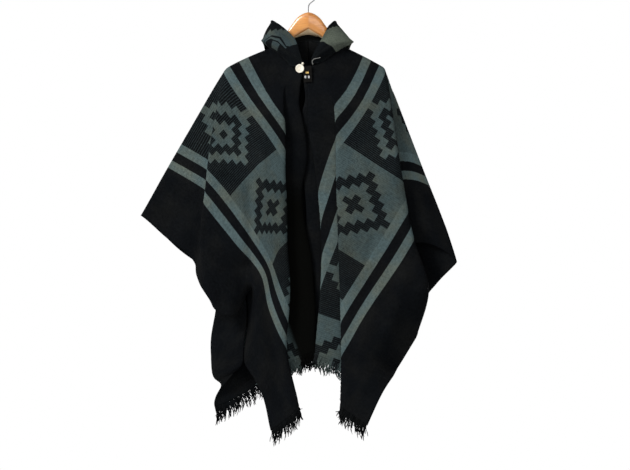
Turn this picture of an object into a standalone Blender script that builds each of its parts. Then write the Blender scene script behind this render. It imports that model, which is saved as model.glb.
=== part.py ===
"""Hooded woven poncho, open down the front, hung on a wooden hanger with a wire hook.

Metres, +Z up, +X to the viewer's right, the front faces -Y. The origin is the inside top
of the hook. The cloth is rigid.
"""
import bmesh
import bpy
import numpy as np
from math import cos, pi, radians, sin
from mathutils import Matrix, Vector

OBJECT_NAME = "poncho_on_hanger"
CLOTH_THICK = 0.002
SEAM = 0.0003
CELL = 0.050
CREASE_HALF = 0.0075
RIDGE_CUTS = (-0.014, -0.007, 0.0, 0.007, 0.014)
CREASE_STATIONS = (0.10, 0.35, 0.60, 0.84, 1.15)
FAN_CUTS = (41, 42, 55, 62, 65, 67, 91, 93, 114, 116.5, 130, 136)
SHARP_ANGLE = 50.0

BLACK_CLOTH = (0.018, 0.019, 0.022, 1.0)
GREY_CLOTH = (0.060, 0.078, 0.085, 1.0)
TAB_CLOTH = (0.060, 0.055, 0.050, 1.0)
WOOD = (0.62, 0.34, 0.14, 1.0)
STEEL = (0.62, 0.62, 0.62, 1.0)
BRASS = (0.55, 0.40, 0.16, 1.0)
IVORY = (0.86, 0.84, 0.78, 1.0)

# Neck cut: v from the shoulder line, width cut away from the inner edge.
NECK = (
    (-0.030, 0.000), (-0.026, 0.040), (-0.016, 0.062), (0.000, 0.078),
    (0.030, 0.057), (0.065, 0.041), (0.098, 0.019), (0.112, 0.000))
NECK_HALF = 0.072

STRANDS = 30
FRINGE_GAP = 0.0010
STRIP = 0.003
FRINGE_LENGTH = 0.050

WOOD_TOP = -0.0725
WOOD_HALF = 0.006
WOOD_CLEAR = -0.0017
WOOD_RING = 10
ARM_STATIONS = (0.0, 0.04, 0.1, 0.2, 0.32, 0.44, 0.56, 0.68, 0.8, 0.9, 0.97, 1.0)
ARM_ROOT = 0.034
ARM_TIP = 0.018
# The bare crown of the hanger: x, top and bottom below its apex.
CROWN = (
    (-0.0575, -0.0505, -0.086), (-0.050, -0.041, -0.077), (-0.042, -0.030, -0.068),
    (-0.035, -0.020, -0.0635), (-0.025, -0.0105, -0.057), (-0.012, -0.003, -0.0495),
    (0.000, 0.000, -0.044), (0.012, -0.003, -0.0495), (0.025, -0.0105, -0.057),
    (0.035, -0.020, -0.0635), (0.042, -0.030, -0.068), (0.050, -0.041, -0.077),
    (0.0575, -0.0505, -0.086))
HOOK_WIRE = 0.0015
HOOK_RADIUS = 0.0235
HOOK_INSIDE = 0.022

TAB_Y = -0.0316
TAB_WIDE = 0.023
TAB_LONG = 0.044
BUTTON_Y = -0.0347
BUTTON_RADIUS = 0.01175
LOOP_Y = -0.0350

# ---- the hanging cloth --------------------------------------------------------
# Each half is one loom width. u runs out from the front edge, v down the warp:
# plus on the front, minus on the back. Sizes in the tables named col and row are
# steps of GRID across and down, so that neighbouring tables share one lattice.
GRID = 0.0027
COL0 = 308.5
ROW0 = 13.0
ROW0_Z = -0.074
WIDTH = 0.668
FRONT = 0.84
BACK = 0.76
REACH = 0.30
DEPTH_REACH = 0.13
SEAM_GAP = 0.0007
CENTRE_BLEND = 0.07
JOIN_TOP = 0.46
JOIN_END = 0.64
JOIN_MIDDLE = 0.04
JOIN_BLEND = 0.10
ROUND = 0.007
RIDGE_DEPTH = 0.013
BODY_DEPTH = 0.050
DEPTH_RUN = 0.27


def across(col):
    return (np.asarray(col, float) - COL0) * GRID


def height(row):
    return ROW0_Z - (np.asarray(row, float) - ROW0) * GRID


def ease(t):
    t = np.clip(t, 0.0, 1.0)
    return t * t * (3.0 - 2.0 * t)


def polar(u, v, apex):
    du = u - apex[0]
    dv = v - apex[1]
    return np.hypot(du, dv), np.degrees(np.arctan2(du, dv))


def turned(u, v, apex, degrees):
    t = np.radians(degrees)
    du = u - apex[0]
    dv = v - apex[1]
    c = np.cos(t)
    s = np.sin(t)
    return apex[0] + du * c + dv * s, apex[1] - du * s + dv * c


# Fans of cloth about the hanger's tip: cloth angle, angle hung, share of depth.
RIGHT_FAN = (
    (-180, 0, 1), (-91, -89, 1), (-90, -90, 0), (-89, -89, -1),
    (41, 41, -1), (42, 40.5, -0.72), (65, 26.6, -0.72), (67, 26.6, -0.45),
    (91, 40.6, -0.42), (93, 41.7, -0.38), (116.5, 52.5, 0), (136, 38, 0.8),
    (180, 0, 1))
LEFT_FAN = (
    (-180, 3.5, 1), (-91, -89, 1), (-90, -90, 0), (-89, -89, -1),
    (20, 20, -1), (55, 46.5, -1), (62, 44.7, -0.72), (66, 45, -0.25),
    (90, 64.5, 0), (114, 45, 0.25), (130, 44.2, 1), (180, 3.5, 1))

# Pleats: apex u and v, cloth angle of the edge and of the turn behind it, step
# inward, the run of v over which the pleat opens, and its share left at the hem.
RIGHT_FRONT = (
    (-0.025, -0.067, 33.2, 26.5, 0.020, 0.06, 0.22, 0.9),
    (-0.030, -0.106, 16.4, 8.4, 0.018, 0.06, 0.22, 1.0))
RIGHT_BACK = (
    (-0.025, -0.067, 33.2, 26.2, 0.024, 0.02, 0.20, 0.8),
    (-0.025, -0.067, 16.7, 10.2, 0.018, 0.02, 0.20, 1.0))
LEFT_FRONT = (
    (-0.008, 0.005, 33.0, 24.9, 0.026, 0.06, 0.22, 0.65),
    (-0.080, -0.100, 15.1, 8.0, 0.018, 0.06, 0.22, 1.0))
LEFT_BACK = (
    (-0.008, -0.040, 32.0, 25.0, 0.026, 0.02, 0.20, 0.9),
    (-0.008, -0.040, 15.5, 9.0, 0.018, 0.02, 0.20, 1.0))

# Places where the hung cloth is held: u, v, col, row, depth (or None).
LEFT_PINS = (
    (0.000, 0.10, 303.0, 69, -0.030), (0.000, 0.18, 300.0, 92, None),
    (0.000, 0.28, 299.5, 130, None), (0.000, 0.41, 300, 180, None),
    (0.000, 0.62, 300, 255, None), (0.000, 0.84, 301, 342, None),
    (0.058, 0.41, 303.5, 181, None), (0.098, 0.56, 308, 233, None),
    (0.140, 0.71, 313.0, 288, None), (0.172, 0.84, 313.5, 350, None),
    (0.159, 0.78, 313.5, 320, None),
    (0.154, 0.25, 286.5, 138, None), (0.211, 0.34, 286.5, 174, None),
    (0.330, 0.52, 288, 246, None), (0.429, 0.675, 289.5, 316, None),
    (0.510, 0.795, 290, 371, None), (0.541, 0.84, 297, 402, None),
    (0.470, 0.20, 206, 189, None), (0.470, 0.30, 231, 220, None),
    (0.470, 0.40, 252, 248, None), (0.470, 0.50, 267, 272, None),
    (0.470, 0.62, 274, 304, None), (0.510, 0.70, 275, 336, None),
    (0.300, 0.20, 241, 150, None), (0.300, 0.32, 266, 187, None),
    (0.668, 0.00, 140, 215, None), (0.668, 0.10, 168, 239, None),
    (0.668, 0.19, 191, 257, None), (0.668, 0.26, 199, 280, None),
    (0.668, 0.33, 213, 304, None), (0.668, 0.37, 223, 314, None),
    (0.668, 0.41, 239, 312, -0.030), (0.668, 0.46, 246, 294, 0.000),
    (0.668, 0.55, 247, 325, 0.000), (0.668, 0.64, 244, 356, 0.000),
    (0.668, 0.74, 262, 392, None), (0.668, 0.84, 271, 429, None),
    (0.668, -0.38, 246, 294, 0.000), (0.668, -0.47, 247, 325, 0.000),
    (0.668, -0.56, 244, 356, 0.000), (0.668, -0.66, 228, 380, 0.020),
    (0.668, -0.76, 214, 409, 0.044),
    (0.590, -0.36, 219, 305, 0.020), (0.590, -0.48, 217, 343, 0.015),
    (0.592, -0.60, 213, 378, 0.042), (0.600, -0.76, 228, 403, None),
    (0.000, -0.03, 308.5, 39.5, None), (0.000, -0.20, 308.5, 102, None),
    (0.000, -0.40, 308.5, 175, None), (0.000, -0.60, 308.5, 248, None),
    (0.000, -0.76, 308.5, 307, None))
RIGHT_PINS = (
    (0.000, 0.10, 304.5, 66, -0.026), (0.000, 0.16, 304, 85, None),
    (0.000, 0.22, 303.5, 107, None), (0.000, 0.30, 303.5, 136, None),
    (0.000, 0.42, 304, 181, None), (0.000, 0.58, 306, 240, None),
    (0.000, 0.745, 314.5, 300, None), (0.000, 0.84, 316, 340, None),
    (0.130, 0.17, 333.5, 108, None), (0.211, 0.29, 335, 161, None),
    (0.429, 0.62, 340, 307, None), (0.510, 0.74, 341.5, 361, None),
    (0.470, 0.50, 376, 278, None), (0.300, 0.30, 361, 182, None),
    (0.668, -0.239, 457.5, 262, None), (0.668, -0.30, 441, 279, None),
    (0.668, -0.38, 424, 305, 0.000), (0.668, -0.47, 417, 336, 0.000),
    (0.668, -0.56, 400, 364, 0.000), (0.668, -0.66, 384, 386, 0.036),
    (0.668, -0.76, 366, 415, None),
    (0.668, 0.00, 413, 243, None), (0.668, 0.46, 424, 305, -0.003),
    (0.668, 0.55, 417, 336, -0.003), (0.668, 0.64, 400, 364, -0.003),
    (0.668, 0.75, 384, 388, None), (0.668, 0.84, 367, 424, None),
    (0.000, -0.03, 308.5, 39.5, None), (0.000, -0.20, 308.5, 102, None),
    (0.000, -0.40, 308.5, 175, None), (0.000, -0.60, 308.5, 248, None),
    (0.000, -0.76, 308.5, 307, None))

HALVES = {
    "right": {
        "side": 1.0, "tip": (0.189, 0.0), "lean": 31.5, "flat_to": 41,
        "close": ((0.50, 0.30, 0.72), (0.50, -0.72, -0.22)), "hold": (0.13, 365.5, 54.5),
        "join_apart": (0.0, 0.0020, 0.0), "fan": RIGHT_FAN,
        "front": RIGHT_FRONT, "back": RIGHT_BACK, "pins": RIGHT_PINS},
    "left": {
        "side": -1.0, "tip": (0.182, 0.0), "lean": 34.5, "flat_to": 55,
        "close": ((0.44, 0.26, 0.84), (0.48, -0.76, -0.22)), "hold": (0.13, 241.0, 55.0),
        "join_apart": (-0.0012, 0.0, 0.0), "fan": LEFT_FAN,
        "front": LEFT_FRONT, "back": LEFT_BACK, "pins": LEFT_PINS}}


def folded(u, v, half):
    """Fold the flat cloth about the hanger's tip and the pleats' apexes."""
    u = np.asarray(u, float)
    v = np.asarray(v, float)
    fan = np.array(half["fan"], float)
    r, angle = polar(u, v, half["tip"])
    hung = np.interp(angle, fan[:, 0], fan[:, 1])
    share = np.interp(angle, fan[:, 0], fan[:, 2])
    run = np.where(angle > 0, r, np.abs(v))
    y = share * (RIDGE_DEPTH + (BODY_DEPTH - RIDGE_DEPTH) * ease(run / DEPTH_RUN))
    a, b = turned(u, v, half["tip"], hung - angle)
    fu = a
    fv = b
    for rows, here, out in ((half["front"], v >= 0, 1.0), (half["back"], v < 0, -1.0)):
        pu = a.copy()
        pv = b.copy()
        py = np.zeros_like(a)
        for au, av, edge, turn, step, start, full, far in reversed(rows):
            r, angle = polar(a, b, (au, av))
            turn = edge - (edge - turn) * (1.0 - (1.0 - far) * ease((r - 0.5) / 0.5))
            opened = ease((np.abs(v) - start) / (full - start))
            sunk = ease((np.abs(v) - start) / (full - start) / 1.5)
            swing = 2.0 * np.clip(edge - angle, 0.0, edge - turn) * opened
            behind = (np.clip(edge + 0.5 - angle, 0.0, 1.0)
                      + np.clip(turn + 0.5 - angle, 0.0, 1.0)) / 2.0
            py = py + out * step * behind * sunk
            pu, pv = turned(pu, pv, (au, av), swing)
        fu = np.where(here, pu, fu)
        fv = np.where(here, pv, fv)
        y = np.where(here, y + py, y)
    lean = np.radians(half["lean"])
    hold_u, col, row = half["hold"]
    du = fu - hold_u
    x = across(col) + half["side"] * (du * np.cos(lean) - fv * np.sin(lean))
    z = height(row) - du * np.sin(lean) - fv * np.cos(lean)
    return np.stack([x, y, z], axis=-1)


def bump(r, reach):
    q = np.clip(1.0 - r / reach, 0.0, 1.0)
    return q ** 4 * (4.0 * r / reach + 1.0)


def pulls_to(places, wanted, reach):
    gaps = np.hypot(
        places[:, None, 0] - places[None, :, 0], places[:, None, 1] - places[None, :, 1])
    return np.linalg.solve(bump(gaps, reach) + 0.002 * np.eye(len(places)), wanted)


def pin_pulls(half):
    """Solve the pulls that bring the folded cloth to its pins."""
    pins = half["pins"]
    places = np.array([(p[0], p[1]) for p in pins], float)
    base = folded(places[:, 0], places[:, 1], half)
    goal = base.copy()
    goal[:, 0] = across([p[2] for p in pins])
    goal[:, 2] = height([p[3] for p in pins])
    pulls = pulls_to(places, goal - base, REACH)
    deep = np.array([p[4] is not None for p in pins])
    depth = np.array([p[4] for p in pins if p[4] is not None])
    sunk = pulls_to(places[deep], depth - base[deep, 1], DEPTH_REACH)
    return places, pulls, places[deep], sunk


def hung(u, v, half):
    u = np.asarray(u, float)
    v = np.asarray(v, float)
    if "pulls" not in half:
        half["pulls"] = pin_pulls(half)
    places, pulls, deep, sunk = half["pulls"]
    point = folded(u, v, half)
    for (pu, pv), pull in zip(places, pulls):
        point = point + bump(np.hypot(u - pu, v - pv), REACH)[..., None] * pull
    for (pu, pv), pull in zip(deep, sunk):
        point[..., 1] += bump(np.hypot(u - pu, v - pv), DEPTH_REACH) * pull
    return point


def rounded(u, v, half, radius=ROUND):
    """Average over a small disc of cloth, so that folds come out round."""
    u = np.asarray(u, float)
    v = np.asarray(v, float)
    total = hung(u, v, half)
    count = 1
    for ring, around in ((0.55, 6), (1.0, 8)):
        for i in range(around):
            t = 2.0 * np.pi * (i + 0.25) / around
            total = total + hung(
                u + radius * ring * np.cos(t), v + radius * ring * np.sin(t), half)
            count += 1
    return total / count


def seam_shifts():
    """Shifts that bring the centre back edges and the side joins together."""
    run = np.linspace(-BACK - 0.02, -0.02, 80)
    zero = np.zeros_like(run)
    left = rounded(zero, run, HALVES["left"])
    right = rounded(zero, run, HALVES["right"])
    middle = (left + right) / 2.0
    for half, edge in ((HALVES["left"], left), (HALVES["right"], right)):
        goal = middle.copy()
        goal[:, 0] = half["side"] * SEAM_GAP / 2.0
        half["centre"] = (run, goal - edge)
    for half in HALVES.values():
        run = np.linspace(JOIN_TOP - 0.06, JOIN_END + 0.06, 40)
        out = np.full_like(run, WIDTH)
        front = rounded(out, run, half)
        back = rounded(out, 2.0 * JOIN_MIDDLE - run, half)
        middle = (front + back) / 2.0
        apart = np.array(half["join_apart"], float)
        near = ease((run - JOIN_TOP + 0.06) / 0.06) * ease((JOIN_END + 0.06 - run) / 0.06)
        half["join"] = (
            run, (middle - apart - front) * near[:, None], (middle + apart - back) * near[:, None])


def cloth(u, v, half):
    """Where the middle of the cloth hangs at (u, v)."""
    u = np.asarray(u, float)
    v = np.asarray(v, float)
    if "join" not in half:
        seam_shifts()
    point = rounded(u, v, half)
    run, shift = half["centre"]
    weight = ease(1.0 - u / CENTRE_BLEND) * ease((-v) / 0.03)
    for axis in range(3):
        point[..., axis] += weight * np.interp(v, run, shift[:, axis])
    run, front, back = half["join"]
    weight = ease(1.0 - (WIDTH - u) / JOIN_BLEND)
    for axis in range(3):
        point[..., axis] += weight * np.interp(v, run, front[:, axis], 0.0, 0.0)
        point[..., axis] += weight * np.interp(
            2.0 * JOIN_MIDDLE - v, run, back[:, axis], 0.0, 0.0)
    return point


# ---- hood: sections from the neck seam over the fold to the free edge ----------
# Each row: seam, upper fold, bag bottom and free edge, as col, row, depth.
HOOD_LEFT = (
    ((302.8, 67.0, -0.0305), (302.8, 65.2, -0.0315), (302.6, 63.2, -0.0325), (302.2, 61.4, -0.0330)),
    ((295.0, 64.2, -0.0305), (296.2, 61.5, -0.0350), (297.6, 57.5, -0.0360), (299.4, 53.0, -0.0350)),
    ((285.5, 59.8, -0.0300), (287.6, 56.0, -0.0360), (291.0, 49.5, -0.0370), (296.0, 42.0, -0.0340)),
    ((278.0, 53.8, -0.0270), (279.4, 50.0, -0.0350), (283.6, 43.0, -0.0370), (290.6, 34.8, -0.0290)),
    ((271.5, 48.6, -0.0220), (271.2, 45.0, -0.0310), (274.0, 37.0, -0.0330), (281.0, 26.2, -0.0220)),
    ((266.5, 45.8, -0.0154), (262.8, 42.0, -0.0200), (264.6, 31.0, -0.0174), (271.4, 20.8, -0.0110)),
    ((265.0, 43.6, 0.0158), (262.0, 40.0, 0.0198), (266.0, 50.0, 0.0400), (273.5, 28.0, 0.0420)),
    ((272.5, 41.6, 0.0168), (272.5, 36.0, 0.0280), (268.0, 84.0, 0.0520), (282.0, 36.0, 0.0560)),
    ((288.0, 40.2, 0.0183), (288.0, 34.8, 0.0300), (284.0, 118.0, 0.0600), (294.0, 43.5, 0.0720)),
    ((308.2, 39.0, 0.0193), (308.2, 33.4, 0.0320), (308.2, 133.0, 0.0620), (308.2, 47.0, 0.0780)))
HOOD_RIGHT = (
    ((310.8, 66.0, -0.0269), (310.9, 64.0, -0.0279), (311.1, 61.8, -0.0289), (311.4, 59.8, -0.0294)),
    ((316.6, 61.6, -0.0289), (316.2, 58.6, -0.0344), (315.4, 55.2, -0.0354), (314.6, 52.6, -0.0334)),
    ((325.2, 56.8, -0.0294), (323.6, 52.8, -0.0364), (321.8, 47.0, -0.0374), (319.8, 43.0, -0.0334)),
    ((336.6, 50.8, -0.0264), (334.4, 46.6, -0.0354), (330.0, 39.0, -0.0364), (324.6, 34.0, -0.0294)),
    ((344.4, 48.0, -0.0214), (343.4, 43.6, -0.0314), (336.6, 34.0, -0.0334), (328.6, 26.6, -0.0224)),
    ((350.4, 46.0, -0.0154), (353.2, 42.8, -0.0194), (345.0, 32.0, -0.0174), (335.4, 21.2, -0.0110)),
    ((350.0, 44.6, 0.0158), (352.2, 41.4, 0.0198), (347.0, 52.0, 0.0400), (337.6, 29.0, 0.0420)),
    ((343.5, 42.2, 0.0168), (344.0, 37.0, 0.0280), (346.0, 84.0, 0.0520), (333.0, 36.0, 0.0560)),
    ((328.0, 40.6, 0.0183), (328.0, 35.2, 0.0300), (331.0, 118.0, 0.0600), (322.0, 43.5, 0.0720)),
    ((308.82, 39.0, 0.0193), (308.82, 33.4, 0.0320), (308.82, 133.0, 0.0620), (308.82, 47.0, 0.0780)))
HOOD_SPAN = 19
HOOD_RUN = 13
HOOD_EASE = 4
BAG_HALF = 0.011
# Along the hood's seam from front to centre back, and where on the neck edge it lies.
SEAT_S = (0.0, 0.05, 0.10, 0.15, 0.20, 0.25, 0.30, 0.35, 0.40, 0.45, 0.50, 0.55, 0.60,
          0.65, 0.70, 0.75, 0.80, 0.85, 0.90, 0.95, 1.0)
SEAT_V = (0.100, 0.090, 0.081, 0.071, 0.058, 0.046, 0.033, 0.022, 0.013, 0.0085, 0.006,
          0.0045, 0.0, -0.0015, -0.003, -0.0055, -0.0085, -0.0178, -0.024, -0.028, -0.030)
SEAT_GAP = 0.0030


def through(knots, at):
    """A smooth line through the knots, at shares 0 to 1 of their spacing."""
    knots = np.asarray(knots, float)
    last = len(knots) - 1
    t = np.clip(np.asarray(at, float), 0.0, 1.0) * last
    i = np.minimum(t.astype(int), last - 1)
    f = (t - i).reshape((-1,) + (1,) * (knots.ndim - 1))
    slope = np.gradient(knots, axis=0)
    a = knots[i]
    b = knots[i + 1]
    h = b - a
    return (a + f * slope[i] + f * f * (3.0 * h - 2.0 * slope[i] - slope[i + 1])
            + f * f * f * (slope[i] + slope[i + 1] - 2.0 * h))


def neck_seat(half, s, drawn):
    """Where the hood is sewn on: just off the neck edge of its panel."""
    v = np.interp(s, SEAT_S, SEAT_V)
    u = np.interp(v, [a for a, _ in NECK], [b for _, b in NECK])
    turn = pi * np.clip((s - 0.45) / 0.27, 0.0, 1.0)
    off = np.stack([np.zeros_like(s), -np.cos(turn), np.sin(turn)], axis=-1)
    seat = cloth(u, v, half) + SEAT_GAP * off
    seat[:, 0] += (drawn[:, 0] - seat[:, 0]) * ease((s - 0.8) / 0.15)
    return drawn + (seat - drawn) * ease((s - 0.03) / 0.12)[:, None]


def hood_point(rows, half, s, t):
    """Hood cloth at s (front 0 to centre back 1) and t (seam 0 to free edge 1)."""
    knots = np.array([[[float(across(c)), y, float(height(r))] for c, r, y in row]
                      for row in rows])
    s = np.asarray(s, float)
    seam, fold, low, edge = np.moveaxis(through(knots, s), 1, 0)
    seam = neck_seat(half, s, seam)
    rise = np.clip((fold[:, 2] - low[:, 2]) / 0.05, 0.0, 1.0)[:, None]
    flat = 0.22 * (1.0 - rise)
    near = low - np.array([0.0, BAG_HALF, 0.0]) * rise + (fold - low) * flat
    away = low + np.array([0.0, BAG_HALF, 0.0]) * rise + (edge - low) * flat
    down = (fold + near) / 2.0
    up = (away + edge) / 2.0 + np.array([0.0, 0.006, 0.0]) * rise
    t = np.asarray(t, float)
    marks = np.array([0.0, 0.16, 0.36, 0.54, 0.62, 0.80, 1.0])
    share = np.interp(t, marks, np.linspace(0.0, 1.0, len(marks)))
    stack = np.stack([seam, fold, down, near, away, up, edge])
    out = np.empty((len(t), 3))
    for k in range(len(t)):
        out[k] = through(stack[:, k], share[k:k + 1])[0]
    return out


# ---- helpers -------------------------------------------------------------------
def material(name, colour, rough, metal=0.0):
    made = bpy.data.materials.new(name)
    made.use_nodes = True
    shader = made.node_tree.nodes["Principled BSDF"]
    shader.inputs["Base Color"].default_value = colour
    shader.inputs["Roughness"].default_value = rough
    shader.inputs["Metallic"].default_value = metal
    made.diffuse_color = colour
    return made


def add_object(name, bm, skin):
    bmesh.ops.recalc_face_normals(bm, faces=bm.faces)
    mesh = bpy.data.meshes.new(name)
    bm.to_mesh(mesh)
    bm.free()
    mesh.materials.append(skin)
    obj = bpy.data.objects.new(name, mesh)
    COLLECTION.objects.link(obj)
    return obj


def smooth(obj, degrees=SHARP_ANGLE):
    obj.data.shade_smooth()
    obj.data.set_sharp_from_angle(angle=radians(degrees))


def thicken(obj, thick=CLOTH_THICK):
    solid = obj.modifiers.new("wall", "SOLIDIFY")
    solid.thickness = thick
    solid.offset = 0.0
    solid.use_even_offset = False
    solid.use_rim = True


def round_edges(obj, width, segments=2):
    bevel = obj.modifiers.new("edges", "BEVEL")
    bevel.width = width
    bevel.segments = segments
    bevel.limit_method = "ANGLE"


def at(col, row, y):
    return Vector((float(across(col)), y, float(height(row))))


def disc(name, centre, radius, depth, skin, sides=28, edge=0.0006):
    """A flat round piece facing the front."""
    bm = bmesh.new()
    bmesh.ops.create_cone(
        bm, cap_ends=True, segments=sides, radius1=radius, radius2=radius, depth=depth,
        matrix=Matrix.Translation(centre) @ Matrix.Rotation(pi / 2.0, 4, "X"))
    obj = add_object(name, bm, skin)
    if edge:
        round_edges(obj, edge)
    smooth(obj, 35.0)
    return obj


def cord(name, points, radius, skin, ring=3):
    """A round cord through the points, with closed ends."""
    curve = bpy.data.curves.new(name, "CURVE")
    curve.dimensions = "3D"
    curve.bevel_depth = radius
    curve.bevel_resolution = ring
    curve.use_fill_caps = True
    curve.resolution_u = 2
    line = curve.splines.new("NURBS")
    line.points.add(len(points) - 1)
    for knot, where in zip(line.points, points):
        knot.co = (where[0], where[1], where[2], 1.0)
    line.order_u = 3
    line.use_endpoint_u = True
    curve.materials.append(skin)
    obj = bpy.data.objects.new(name, curve)
    COLLECTION.objects.link(obj)
    return obj


# ---- panels --------------------------------------------------------------------
def fan_angle(half, degrees, front):
    """Cloth angle about the hanger's tip that hangs at the given angle."""
    rows = [(h, c if c > 0 or front else c + 360.0) for c, h, _ in half["fan"]
            if (-90 < c <= half["flat_to"] if front else abs(c) > 120 or c == -91)]
    rows.sort()
    return float(np.interp(degrees, [r[0] for r in rows], [r[1] for r in rows]))


def crease_lines(half):
    """Short straight runs in the flat cloth along which it is folded."""
    runs = []
    for turn, _, _ in half["fan"]:
        if abs(turn) in FAN_CUTS:
            way = np.array([sin(radians(turn)), cos(radians(turn))])
            runs.append((np.array(half["tip"]), np.array(half["tip"]) + way * 1.2, (0.0,)))
    for rows, front in ((half["front"], True), (half["back"], False)):
        for au, av, edge, turn, _, _, _, far in rows:
            for is_turn in (False, True):
                places = []
                for r in CREASE_STATIONS:
                    angle = edge
                    if is_turn:
                        angle -= (edge - turn) * (1.0 - (1.0 - far) * float(ease((r - 0.5) / 0.5)))
                    a = au + r * sin(radians(angle)) - half["tip"][0]
                    b = av + r * cos(radians(angle))
                    way = radians(fan_angle(half, np.degrees(np.arctan2(a, b)), front))
                    r = np.hypot(a, b)
                    places.append(np.array([half["tip"][0] + r * sin(way), r * cos(way)]))
                for start, end in zip(places[:-1], places[1:]):
                    runs.append((start, end, (-CREASE_HALF, 0.0, CREASE_HALF)))
    return runs


def slice_run(bm, start, end, shift):
    """Cut along one short run, only on its own side of the shoulder."""
    start = Vector((start[0], start[1], 0.0))
    along = Vector((end[0], end[1], 0.0)) - start
    long = along.length
    along.normalize()
    side = Vector((along.y, -along.x, 0.0))
    start = start + side * shift
    front = (start + along * long / 2.0).y > 0.0
    faces = []
    for face in bm.faces:
        centre = face.calc_center_median()
        reach = (centre - start).dot(along)
        if (centre.y > 0.0) == front and -0.006 < reach < long + 0.006:
            faces.append(face)
    edges = {edge for face in faces for edge in face.edges}
    verts = {vert for face in faces for vert in face.verts}
    bmesh.ops.bisect_plane(
        bm, geom=list(verts) + list(edges) + faces, dist=0.0025, plane_co=start, plane_no=side)


def flat_panel(half):
    """The panel as cut, lying in the plane: x is u and y is v."""
    bm = bmesh.new()
    columns = int(round(WIDTH / CELL))
    rows = int(round((FRONT + BACK) / CELL))
    bmesh.ops.create_grid(bm, x_segments=columns, y_segments=rows, size=0.5)
    for vert in bm.verts:
        vert.co.x = (vert.co.x + 0.5) * WIDTH
        vert.co.y = (vert.co.y + 0.5) * (FRONT + BACK) - BACK
    neck = np.array(NECK, float)
    for a, b in zip(NECK[:-1], NECK[1:]):
        near = [f for f in bm.faces if a[0] - CELL < f.calc_center_median().y < b[0] + CELL
                and f.calc_center_median().x < 0.12]
        parts = near + list({e for f in near for e in f.edges})
        parts += list({v for f in near for v in f.verts})
        bmesh.ops.bisect_plane(
            bm, geom=parts, dist=0.0005, plane_co=(a[1], a[0], 0.0),
            plane_no=(b[0] - a[0], a[1] - b[1], 0.0))
    gone = [f for f in bm.faces if f.calc_center_median().x < np.interp(
        f.calc_center_median().y, neck[:, 0], neck[:, 1], -1.0, -1.0)]
    bmesh.ops.delete(bm, geom=gone, context="FACES")
    for shift in RIDGE_CUTS:
        bmesh.ops.bisect_plane(
            bm, geom=bm.verts[:] + bm.edges[:] + bm.faces[:], dist=0.001,
            plane_co=(0.0, shift, 0.0), plane_no=(0.0, 1.0, 0.0))
    for start, end, shifts in crease_lines(half):
        for shift in shifts:
            slice_run(bm, start, end, shift)
    for low_u, low_v, high_v in half["close"]:
        faces = [f for f in bm.faces if f.calc_center_median().x > low_u
                 and low_v < f.calc_center_median().y < high_v]
        bmesh.ops.subdivide_edges(
            bm, edges=list({e for f in faces for e in f.edges if e.calc_length() > CELL * 0.4}),
            cuts=1, use_grid_fill=True)
    bmesh.ops.dissolve_degenerate(bm, dist=0.0012, edges=bm.edges)
    return bm


def panel(name, half, skin):
    bm = flat_panel(half)
    flat = np.array([(vert.co.x, vert.co.y) for vert in bm.verts])
    for v_end in (FRONT, -BACK):
        half[v_end] = np.unique(np.round(flat[np.abs(flat[:, 1] - v_end) < 1e-4, 0], 6))
    for vert, where in zip(bm.verts, cloth(flat[:, 0], flat[:, 1], half)):
        vert.co = where
    obj = add_object(name, bm, skin)
    thicken(obj)
    smooth(obj)
    return obj


def hood(name, rows, half, skin):
    bm = bmesh.new()
    bmesh.ops.create_grid(bm, x_segments=HOOD_SPAN, y_segments=HOOD_RUN, size=0.5)
    s = np.array([vert.co.x + 0.5 for vert in bm.verts])
    t = np.array([vert.co.y + 0.5 for vert in bm.verts])
    for vert, where in zip(bm.verts, hood_point(rows, half, s, t)):
        vert.co = where
    inner = [vert for vert in bm.verts if not vert.is_boundary]
    for _ in range(HOOD_EASE):
        bmesh.ops.smooth_vert(
            bm, verts=inner, factor=0.5, use_axis_x=True, use_axis_y=True, use_axis_z=True)
    obj = add_object(name, bm, skin)
    thicken(obj, 0.0018)
    smooth(obj)
    return obj


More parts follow.
